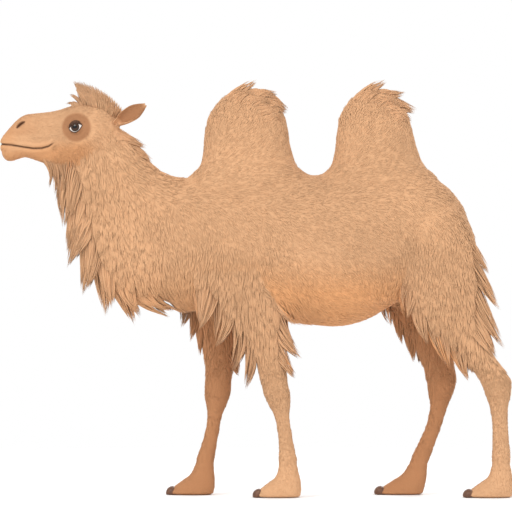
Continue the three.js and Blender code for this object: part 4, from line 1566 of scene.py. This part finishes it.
def eye_finish(colours):
    """A wet dark eye: level oval pupil, brown iris with fibres, dark rim and a thin pale white."""
    material, tree, shader, place = finish_named("Camel eye", 0.18)
    level, rise = read(tree, "level"), read(tree, "rise")
    pair = node(tree, "ShaderNodeCombineXYZ", {"X": level, "Y": rise}).outputs["Vector"]
    round_off = node(tree, "ShaderNodeVectorMath", {0: pair}, operation="LENGTH").outputs["Value"]
    widened = {0: pair, 1: (1, 1.8, 1)}
    oval = node(tree, "ShaderNodeVectorMath", widened, operation="MULTIPLY").outputs["Vector"]
    pupil_off = node(tree, "ShaderNodeVectorMath", {0: oval}, operation="LENGTH").outputs["Value"]
    fibres = noise(tree, pair, 9, 4)
    streaks = ranged(tree, fibres, 0.3, 0.7, 0, 1)
    iris = blended(tree, streaks, rgba(colours.iris, 0.55), rgba(colours.iris, 1.3))
    iris = blended(tree, ranged(tree, round_off, 24, 30, 0, 1), iris, (0.012, 0.008, 0.006, 1))
    veins = ranged(tree, noise(tree, place, 160, 5), 0.45, 0.75, 0, 0.5)
    white = blended(tree, veins, rgba(colours.white), (0.55, 0.33, 0.26, 1))
    colour = blended(tree, ranged(tree, round_off, 31, 33, 0, 1), iris, white)
    colour = blended(tree, ranged(tree, pupil_off, 17, 20, 1, 0), colour, (0.004, 0.004, 0.005, 1))
    tree.links.new(colour, shader.inputs["Base Color"])
    tree.links.new(ranged(tree, fibres, 0.3, 0.7, 0.12, 0.26), shader.inputs["Roughness"])
    relief(tree, shader, fibres, 0.12, 0.0004)
    shader.inputs["Specular IOR Level"].default_value = 0.1
    shader.inputs["Coat Weight"].default_value = 0.4
    shader.inputs["Coat Roughness"].default_value = 0.02
    return material


def horn_finish(colours):
    """Dark toenail horn with growth rings and worn, paler edges."""
    material, tree, shader, place = finish_named("Toenail horn", 0.45)
    rings = noise(tree, place, 120, 3, (1, 0.15, 0.3))
    wear = noise(tree, place, 45, 4)
    bands = ranged(tree, rings, 0.35, 0.65, 0, 1)
    colour = blended(tree, bands, rgba(colours.horn, 0.75), rgba(colours.horn, 1.25))
    colour = blended(tree, ranged(tree, wear, 0.55, 0.8, 0, 0.45), colour, (0.34, 0.22, 0.13, 1))
    tree.links.new(colour, shader.inputs["Base Color"])
    tree.links.new(ranged(tree, wear, 0.3, 0.7, 0.38, 0.62), shader.inputs["Roughness"])
    relief(tree, shader, rings, 0.6, 0.0015)
    return material


def lash_finish(colours):
    """Dark lashes and the damp dark rims of the lids."""
    material, tree, shader, place = finish_named("Lash and lid rim", 0.5)
    grain = noise(tree, place, 300, 3)
    tree.links.new(
        blended(tree, ranged(tree, grain, 0.3, 0.7, 0, 1), rgba(colours.dark, 0.4), rgba(colours.dark, 0.8)),
        shader.inputs["Base Color"],
    )
    tree.links.new(ranged(tree, grain, 0.3, 0.7, 0.38, 0.6), shader.inputs["Roughness"])
    relief(tree, shader, grain, 0.25, 0.0004)
    return material


def floor_finish(stage):
    """Pale matt floor that fades out away from the camel."""
    material, tree, shader, place = finish_named("Studio floor", 0.9)
    grain = noise(tree, place, 30, 4)
    tree.links.new(
        blended(tree, ranged(tree, grain, 0.3, 0.7, 0, 1), rgba(stage.floor, 0.985), rgba(stage.floor)),
        shader.inputs["Base Color"],
    )
    away = node(tree, "ShaderNodeVectorMath", {0: place}, operation="LENGTH").outputs["Value"]
    fade = ranged(tree, away, stage.floor_size * 0.35, stage.floor_size * 0.95, 1, 0)
    tree.links.new(fade, shader.inputs["Alpha"])
    return material


# ---- pieces ----
def eye_piece(name, side, material):
    """An eyeball with the bulge of its cornea, marked with the angles from the pupil."""
    centre, gaze, forward, up = (v * (1, side, 1) for v in eye_frame())
    bm = bmesh.new()
    bmesh.ops.create_uvsphere(bm, u_segments=64, v_segments=48, radius=1)
    ball = points_of(bm.verts)
    off = np.degrees(np.arccos(np.clip(ball[:, 2], -1, 1)))
    turn = np.arctan2(ball[:, 1], ball[:, 0])
    radius = EYE["radius"] * MM + 0.0014 * np.clip(1 - (off / 38) ** 2, 0, 1)
    ways = ball[:, :1] * forward + ball[:, 1:2] * up + ball[:, 2:] * gaze
    place(bm.verts, enlarged(centre + ways * radius[:, None]))
    obj = riding(loose(name, bm), material)
    attribute(obj.data, "level", off * np.cos(turn))
    attribute(obj.data, "rise", off * np.sin(turn))
    return obj


def lid_path(turn):
    """Angles across and up of the lid's edge all round the eye."""
    level = LID_CORNER * np.cos(turn)
    upper, lower = lid_edges(level)
    return level, np.where(np.sin(turn) > 0, upper, lower)


def lid_rims(material):
    """A thin rolled rim along the edges of the lids."""
    bm = bmesh.new()
    for side in SIDES.values():
        made = bmesh.ops.create_grid(bm, x_segments=120, y_segments=8, size=1)["verts"]
        grid = points_of(made)
        turn = (grid[:, 0] + 1) * math.pi
        level, rise = lid_path(turn)
        ray = eye_ray(level, rise)
        later = eye_ray(*lid_path(turn + 0.02))
        run = unit(later - eye_ray(*lid_path(turn - 0.02)))
        beside = unit(np.cross(run, ray))
        rolled = (grid[:, 1] + 1) * math.pi
        thick = 0.0017
        centre = eye_frame()[0]
        points = centre + ray * (EYE["radius"] * MM + 0.0013 + thick * np.sin(rolled))[:, None]
        points += beside * (thick * np.cos(rolled))[:, None]
        place(made, enlarged(points * (1, side, 1)))
    bmesh.ops.remove_doubles(bm, verts=bm.verts, dist=0.00002)
    return riding(loose("lid_rims", bm), material)


def lash_batch(side, dice):
    """Long curved lashes on both lids of one eye."""
    batches = []
    for upper, count, longest in ((True, 62, 0.016), (False, 34, 0.009)):
        level = np.linspace(-47, 47, count) + dice.normal(0, 0.5, count)
        high, low = lid_edges(level)
        rise = high if upper else low
        start = eye_frame()[0] + eye_ray(level, rise) * (EYE["radius"] * MM + 0.0022)
        _, _, forward, up = eye_frame()
        ray = eye_ray(level * 0.9, rise)
        size = (longest * (1 - 0.5 * (level / LID_CORNER) ** 2) * dice.uniform(0.8, 1.1, count))[:, None]
        sag = up * (-0.35 if upper else -0.25)
        sweep_back = forward * (level / 90)[:, None]
        share = np.linspace(0, 1, 6)[None, :, None]
        first = unit(ray + sag + sweep_back)[:, None, :]
        curl = (up * (0.55 if upper else -0.1))[None, None, :] * size[:, None]
        curved = start[:, None, :] + first * size[:, None] * share + curl * share**2.2
        paths = enlarged(curved * (1, side, 1))
        batches.append(locks(paths, np.full(count, 0.0011), np.tile(up * (1, side, 1), (count, 1)), dice, 0))
    return batches


def toenail(name, material):
    """A blunt curved nail, flat where it meets the ground, in the place of its solid."""
    low, high = (np.array(corner, float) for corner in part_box(name))
    bm = bmesh.new()
    bmesh.ops.create_uvsphere(bm, u_segments=28, v_segments=20, radius=1)
    ball = points_of(bm.verts)
    middle = (low + high) / 2
    middle[2] = NAIL_RISE * MM
    half = (high - low) / 2
    half[2] = high[2] - middle[2]
    ahead = -ball[:, 0]
    narrow = 1 - 0.14 * np.clip(ahead, 0, 1) ** 2
    flat = 1 - 0.12 * np.clip(ahead, 0, 1)
    points = middle + ball * half * np.stack([np.ones(len(ball)), narrow, flat], axis=1)
    points[:, 2] = np.maximum(points[:, 2] + 0.0006 * np.sin(ball[:, 0] * 16) * (ball[:, 2] > 0.1), low[2])
    place(bm.verts, points)
    piece = riding(loose("horn_" + name, bm), material)
    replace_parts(piece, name)
    return piece


# ---- the add-on ----
class CamelSizes(bpy.types.PropertyGroup):
    """Sizes that a maker may change"""

    hide_cell: bpy.props.FloatProperty(
        name="Hide cell",
        description="Size of the cells in which the flesh melts into one hide",
        default=0.0145,
        min=0.008,
        unit="LENGTH",
    )
    coat_gap: bpy.props.FloatProperty(
        name="Coat spacing",
        description="Spacing of the locks, as a share of their full spacing",
        default=1.0,
        min=0.5,
        max=4.0,
    )
    seed: bpy.props.IntProperty(
        name="Seed",
        description="Starting number of the coat's random draws",
        default=7,
    )


class CamelColours(bpy.types.PropertyGroup):
    """Colours that a maker may change"""

    tan: bpy.props.FloatVectorProperty(
        name="Tan", description="Colour of most of the coat", subtype="COLOR", default=(0.66, 0.375, 0.20)
    )
    # Belly: the coat's warmer orange, lighter than the tan as painted light against the shade under the body;
    # on the jaw and muzzle it goes with brown as painted shade.
    belly: bpy.props.FloatVectorProperty(
        name="Belly",
        description="Warmer colour under the body and jaw",
        subtype="COLOR",
        default=(0.78, 0.385, 0.17),
    )
    # Brown: also painted shade on the inner sides of the legs, in the ears' hollows, under the jaw and on the
    # muzzle.
    brown: bpy.props.FloatVectorProperty(
        name="Brown",
        description="Colour of the inner legs, eye rings and ears",
        subtype="COLOR",
        default=(0.48, 0.222, 0.10),
    )
    # Dark: also painted shade, near-black in the nostril slits and the mouth line, and a share over the eye's
    # brown ring and the ear hollows.
    dark: bpy.props.FloatVectorProperty(
        name="Dark",
        description="Colour of lids, nostrils and mouth line",
        subtype="COLOR",
        default=(0.085, 0.034, 0.014),
    )
    horn: bpy.props.FloatVectorProperty(
        name="Horn", description="Colour of the toenails", subtype="COLOR", default=(0.12, 0.045, 0.018)
    )
    iris: bpy.props.FloatVectorProperty(
        name="Iris", description="Colour of the iris", subtype="COLOR", default=(0.05, 0.022, 0.01)
    )
    white: bpy.props.FloatVectorProperty(
        name="Eye white",
        description="Colour of the white of the eye",
        subtype="COLOR",
        default=(0.78, 0.72, 0.66),
    )


class CamelStage(bpy.types.PropertyGroup):
    """The stage round the camel"""

    distance: bpy.props.FloatProperty(
        name="Camera distance",
        description="From the camera to the camel's middle",
        default=26.0,
        unit="LENGTH",
    )
    width: bpy.props.FloatProperty(
        name="View width",
        description="Width that the camera takes in at the camel",
        default=2.7693,
        unit="LENGTH",
    )
    height: bpy.props.FloatProperty(
        name="Camera height", description="Height of the camera over the floor", default=1.298, unit="LENGTH"
    )
    floor: bpy.props.FloatVectorProperty(
        name="Floor", description="Colour of the floor", subtype="COLOR", default=(0.9, 0.9, 0.9)
    )
    floor_size: bpy.props.FloatProperty(
        name="Floor size",
        description="Radius of the floor",
        default=7.0,
        unit="LENGTH",
    )


def coat_material(context):
    return bpy.data.materials.get("Camel wool") or wool_finish(context.scene.camel_colours)


# Millimetres between the locks of each kind of coat.
SPACING = {
    "face": 5.15,
    "mop": 3.6,
    "mane": 9.35,
    "beard": 5.2,
    "trunk": 10.1,
    "hump": 9.8,
    "hump_top": 6.8,
    "sleeve": 10.4,
    "shank": 7.1,
    "tail": 5.5,
}


def spacing_of(context, coat):
    return SPACING[coat] * MM * context.scene.camel_sizes.coat_gap * 1


def dice_for(context, number):
    return np.random.default_rng(context.scene.camel_sizes.seed * 1000 + number)


class CAMEL_OT_hide(bpy.types.Operator):
    """Build the hide as one closed surface"""

    bl_idname = "camel.hide"
    bl_label = "Hide"

    def execute(self, context):
        body = skin_body(context.scene.camel_sizes.hide_cell)
        riding(body, hide_finish(context.scene.camel_colours))
        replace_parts(body, *FLESH)
        mesh = body.data
        points = vectors(mesh, "co")
        marked(mesh, points)
        ways, _ = lie(points, vectors(mesh, "normal"))
        attribute(mesh, "hang", smooth(0.35, 0.65, ways[:, 2] ** 2))
        return {"FINISHED"}


class CAMEL_OT_eyes(bpy.types.Operator):
    """Build both eyes with the rims and lashes of their lids"""

    bl_idname = "camel.eyes"
    bl_label = "Eyes and lashes"

    def execute(self, context):
        colours = context.scene.camel_colours
        wet = eye_finish(colours)
        for name, side in SIDES.items():
            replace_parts(eye_piece(f"eyeball_{name}", side, wet), f"eye_{name}")
        lash = lash_finish(colours)
        lid_rims(lash)
        dice = dice_for(context, 1)
        coat_piece("lashes", [batch for side in SIDES.values() for batch in lash_batch(side, dice)], lash)
        return {"FINISHED"}


class CAMEL_OT_toenails(bpy.types.Operator):
    """Build the eight toenails"""

    bl_idname = "camel.toenails"
    bl_label = "Toenails"

    def execute(self, context):
        horn = horn_finish(context.scene.camel_colours)
        for leg in LEGS:
            for toe in ("inner", "outer"):
                toenail(f"{leg.name}_nail_{toe}", horn)
        return {"FINISHED"}


class CAMEL_OT_head_coat(bpy.types.Operator):
    """Grow the short coat of the face and ears, and the longer hair of the jaw"""

    bl_idname = "camel.head_coat"
    bl_label = "Coat of the head"

    def execute(self, context):
        dice = dice_for(context, 2)
        head = NUMBER["head"]
        back_of_face = -0.86

        def face(p, found):
            return (found == head) & (p[:, 0] < back_of_face)

        def back(p, found):
            return ((found == head) | on_ear(p)) & (p[:, 0] >= back_of_face)

        fine = spacing_of(context, "face")

        def finest_in_front(p):
            return fine * np.interp(p[:, 0], (-1.38, -0.95), (0.86, 1.15))

        batches = [
            short_coat(face, finest_in_front, dice, face_width, clump=0.3, longest=0.032),
            short_coat(back, fine * 1.25, dice, face_width, clump=0.35, levels=4, longest=0.05),
        ]
        coat_piece("coat_head", batches, coat_material(context))
        return {"FINISHED"}


class CAMEL_OT_crest(bpy.types.Operator):
    """Grow the tall mop on the crown, with its points over the brow"""

    bl_idname = "camel.crest"
    bl_label = "Crest"

    def execute(self, context):
        dice = dice_for(context, 3)
        ranks = [
            (side * y, side * y * 1.1, 0, -fall)
            for y, fall in ((7, 0), (22, 6), (38, 20), (54, 44))
            for side in (-1, 1)
        ]
        mass = wads(spread(CREST_MASS, 18), ranks, True)
        points = wads(CREST_POINTS, [(y, y * 1.3, abs(y) * 0.4, 0) for y in (0, -26, 26)], True)

        def crown(p, found):
            near = (p[:, 0] > -0.985) & (p[:, 0] < -0.745) & (np.abs(p[:, 1]) < 0.060)
            return near & (p[:, 2] > 2.04) & ~on_ear(p)

        def brow(p, found):
            return crown(p, found) & (p[:, 0] < -0.915)

        fine = spacing_of(context, "mop")
        wide = 0.0068
        mop = long_coat(crown, fine, dice, mass, wide, tight=(0.4, 0.8), upright=True)
        tips = long_coat(
            brow, fine * 1.3, dice, points, wide, clump=0.6, reach=0.06, tight=(0.84, 0.6), upright=True
        )
        coat_piece("coat_crest", [mop, tips], coat_material(context))
        return {"FINISHED"}


class CAMEL_OT_neck_coat(bpy.types.Operator):
    """Grow the mane of the neck, with its long fringe in front"""

    bl_idname = "camel.neck_coat"
    bl_label = "Coat of the neck"

    def execute(self, context):
        dice = dice_for(context, 4)
        neck = NUMBER["neck"]
        ranks = [(0, 0, 0, 0), (40, 34, 2, 8), (-40, -34, 2, 8), (84, 84, 36, 42), (-84, -84, 36, 42)]
        nape = [(0, 0, 0, 0), (30, 34, -8, -14), (-30, -34, -8, -14)]
        fringe = np.concatenate([wads(gathered(NECK_WADS), ranks), wads(gathered(NAPE_WADS), nape)])
        for name, side in SIDES.items():

            def half(p, found):
                here = (found == neck) | (np.abs(head_side(p) - 0.015) < 0.02) & (p[:, 0] < -0.66)
                return here & (p[:, 1] * side >= 0) & ~on_ear(p)

            def chin(p, found):
                return under_jaw(p) & (p[:, 1] * side >= 0)

            apart = spacing_of(context, "mane")
            mane = long_coat(
                half, apart, dice, fringe, 0.0075, guides_apart=0.035, droop=0.5, tight=(0.78, 0.55)
            )
            apart = spacing_of(context, "beard")
            beard = long_coat(chin, apart, dice, fringe, 0.0065, droop=0.5, tight=(0.8, 0.5))
            coat_piece(f"coat_neck_{name}", [mane, beard], coat_material(context))
        return {"FINISHED"}


class CAMEL_OT_trunk_coat(bpy.types.Operator):
    """Grow the short wool of the trunk"""

    bl_idname = "camel.trunk_coat"
    bl_label = "Coat of the trunk"

    def execute(self, context):
        dice = dice_for(context, 5)
        trunk = NUMBER["trunk"]
        for name, side in SIDES.items():

            def half(p, found):
                return (found == trunk) & (p[:, 1] * side >= 0)

            batch = short_coat(half, spacing_of(context, "trunk"), dice, wool_width, clump=0.3)
            coat_piece(f"coat_trunk_{name}", [batch], coat_material(context))
        return {"FINISHED"}


class CAMEL_OT_hump_coat(bpy.types.Operator):
    """Grow the wool of the humps and their pointed tops"""

    bl_idname = "camel.hump_coat"
    bl_label = "Coat of the humps"

    def execute(self, context):
        dice = dice_for(context, 6)
        ranks = [
            (0, 0, 0, 0),
            (34, 30, -12, -20),
            (-34, -30, -12, -20),
            (62, 66, -30, -62),
            (-62, -66, -30, -62),
        ]
        for name, middle in HUMP_MIDDLES.items():
            number = NUMBER[name]
            shifted = [((a + middle / MM, b), (c + middle / MM, d)) for (a, b), (c, d) in HUMP_WADS]
            fringe = wads(gathered(shifted), ranks)

            def sides(p, found):
                return found == number

            def top(p, found):
                return (found == number) & (p[:, 2] > 2.0)

            fine = spacing_of(context, "hump_top")
            batches = [
                short_coat(sides, spacing_of(context, "hump"), dice, wool_width, clump=0.35),
                long_coat(top, fine, dice, fringe, 0.007, reach=0.06, tight=(0.8, 0.55)),
            ]
            coat_piece(f"coat_{name}", batches, coat_material(context))
        return {"FINISHED"}


class CAMEL_OT_leg_coat(bpy.types.Operator):
    """Grow the shaggy sleeves and thighs, and the short hair below them"""

    bl_idname = "camel.leg_coat"
    bl_label = "Coat of the legs"

    def execute(self, context):
        dice = dice_for(context, 7)
        apart = spacing_of(context, "sleeve")
        for leg in LEGS:
            number = NUMBER[leg.name]
            ranks = [
                (leg.side * (leg.middle + y), leg.side * (leg.middle + y * 1.1), 0, -abs(y) * 0.5)
                for y in (0, -34, 34)
            ]
            fringe = np.concatenate([wads(gathered(row), ranks) for row in LEG_WADS[leg.name]])

            def upper(p, found):
                return (found == number) & (p[:, 2] > 0.655)

            def lower(p, found):
                return (found == number) & (p[:, 2] <= 0.74)

            batches = [
                long_coat(
                    upper, apart, dice, fringe, 0.0078, guides_apart=0.035, droop=0.35, tight=(0.82, 0.5)
                ),
                short_coat(lower, spacing_of(context, "shank"), dice, shank_width, clump=0.25),
            ]
            coat_piece(f"coat_{leg.name}", batches, coat_material(context))
        return {"FINISHED"}


class CAMEL_OT_tail_coat(bpy.types.Operator):
    """Grow the hair of the tail and its tuft"""

    bl_idname = "camel.tail_coat"
    bl_label = "Coat of the tail"

    def execute(self, context):
        dice = dice_for(context, 8)
        number = NUMBER["tail"]
        fringe = wads(TAIL_WADS, [(0, 0, 0, 0), (9, 12, -4, 10), (-9, -12, -4, 10)])

        def all_of_it(p, found):
            return found == number

        fine = spacing_of(context, "tail")
        batch = long_coat(all_of_it, fine, dice, fringe, 0.0065, clump=0.7, droop=0.4, reach=0.04)
        coat_piece("coat_tail", [batch], coat_material(context))
        return {"FINISHED"}


class CAMEL_OT_stage(bpy.types.Operator):
    """Lay the floor, and set the lights and the camera"""

    bl_idname = "camel.stage"
    bl_label = "Stage"

    def execute(self, context):
        scene = context.scene
        stage = scene.camel_stage
        bm = bmesh.new()
        bmesh.ops.create_circle(bm, cap_ends=True, segments=96, radius=stage.floor_size)
        mesh = bpy.data.meshes.new("floor")
        bm.to_mesh(mesh)
        bm.free()
        mesh.materials.append(floor_finish(stage))
        floor = bpy.data.objects.new("floor", mesh)
        scene.collection.objects.link(floor)

        world = bpy.data.worlds.new("Studio")
        scene.world = world
        world.use_nodes = True
        sky = world.node_tree.nodes["Background"]
        sky.inputs["Color"].default_value = (1, 1, 1, 1)
        sky.inputs["Strength"].default_value = 1.0
        scene.view_settings.view_transform = "Standard"
        for name, where, size, power in (
            ("Key", (-4.5, -6.5, 6.5), 3.5, 330),
            ("Fill", (5.5, -5.5, 3.0), 4.0, 110),
            ("Back", (2.5, 6.0, 5.5), 3.0, 200),
        ):
            data = bpy.data.lights.new(name, "AREA")
            data.size = size
            data.energy = power
            lamp = bpy.data.objects.new(name, data)
            lamp.location = where
            lamp.rotation_euler = (Vector((0, 0, 1.1)) - Vector(where)).to_track_quat("-Z", "Y").to_euler()
            scene.collection.objects.link(lamp)

        data = bpy.data.cameras.new("Camera")
        data.lens = data.sensor_width * stage.distance / stage.width
        camera = bpy.data.objects.new("Camera", data)
        camera.location = (0, -stage.distance, stage.height)
        camera.rotation_euler = (math.pi / 2, 0, 0)
        scene.collection.objects.link(camera)
        scene.camera = camera
        return {"FINISHED"}


def face_width(lengths):
    return np.clip(lengths * 0.2, 0.0014, 0.0048)


def wool_width(lengths):
    return np.clip(lengths * 0.18, 0.003, 0.0075)


def shank_width(lengths):
    return np.clip(lengths * 0.16, 0.0024, 0.006)


FLESH = ["head", "lower_jaw", "ear_left", "ear_right", "neck", "head_crest", "trunk", "tail"]
FLESH += ["hump_front", "hump_rear"]
FLESH += [f"{leg.name}_{part}" for leg in LEGS for part in ("foot", "lower", "upper")]

STEPS = (
    CAMEL_OT_hide,
    CAMEL_OT_eyes,
    CAMEL_OT_toenails,
    CAMEL_OT_head_coat,
    CAMEL_OT_crest,
    CAMEL_OT_neck_coat,
    CAMEL_OT_trunk_coat,
    CAMEL_OT_hump_coat,
    CAMEL_OT_leg_coat,
    CAMEL_OT_tail_coat,
    CAMEL_OT_stage,
)


class CAMEL_PT_build(bpy.types.Panel):
    """The camel's sizes, colours and building steps"""

    bl_idname = "CAMEL_PT_build"
    bl_label = "Camel"
    bl_space_type = "VIEW_3D"
    bl_region_type = "UI"
    bl_category = "Camel"

    def draw(self, context):
        for group in (context.scene.camel_sizes, context.scene.camel_colours, context.scene.camel_stage):
            box = self.layout.box()
            for name in group.__annotations__:
                box.prop(group, name)
        for step in STEPS:
            self.layout.operator(step.bl_idname)


GROUPS = {"camel_sizes": CamelSizes, "camel_colours": CamelColours, "camel_stage": CamelStage}


def register():
    for kind in (*GROUPS.values(), *STEPS, CAMEL_PT_build):
        bpy.utils.register_class(kind)
    for name, kind in GROUPS.items():
        setattr(bpy.types.Scene, name, bpy.props.PointerProperty(type=kind))


def unregister():
    for name in GROUPS:
        delattr(bpy.types.Scene, name)
    for kind in reversed((*GROUPS.values(), *STEPS, CAMEL_PT_build)):
        bpy.utils.unregister_class(kind)


def main():
    register()
    bpy.ops.camel.hide()
    bpy.ops.camel.eyes()
    bpy.ops.camel.toenails()
    bpy.ops.camel.head_coat()
    bpy.ops.camel.crest()
    bpy.ops.camel.neck_coat()
    bpy.ops.camel.trunk_coat()
    bpy.ops.camel.hump_coat()
    bpy.ops.camel.leg_coat()
    bpy.ops.camel.tail_coat()
    bpy.ops.camel.stage()


if __name__ == "__main__":
    main()
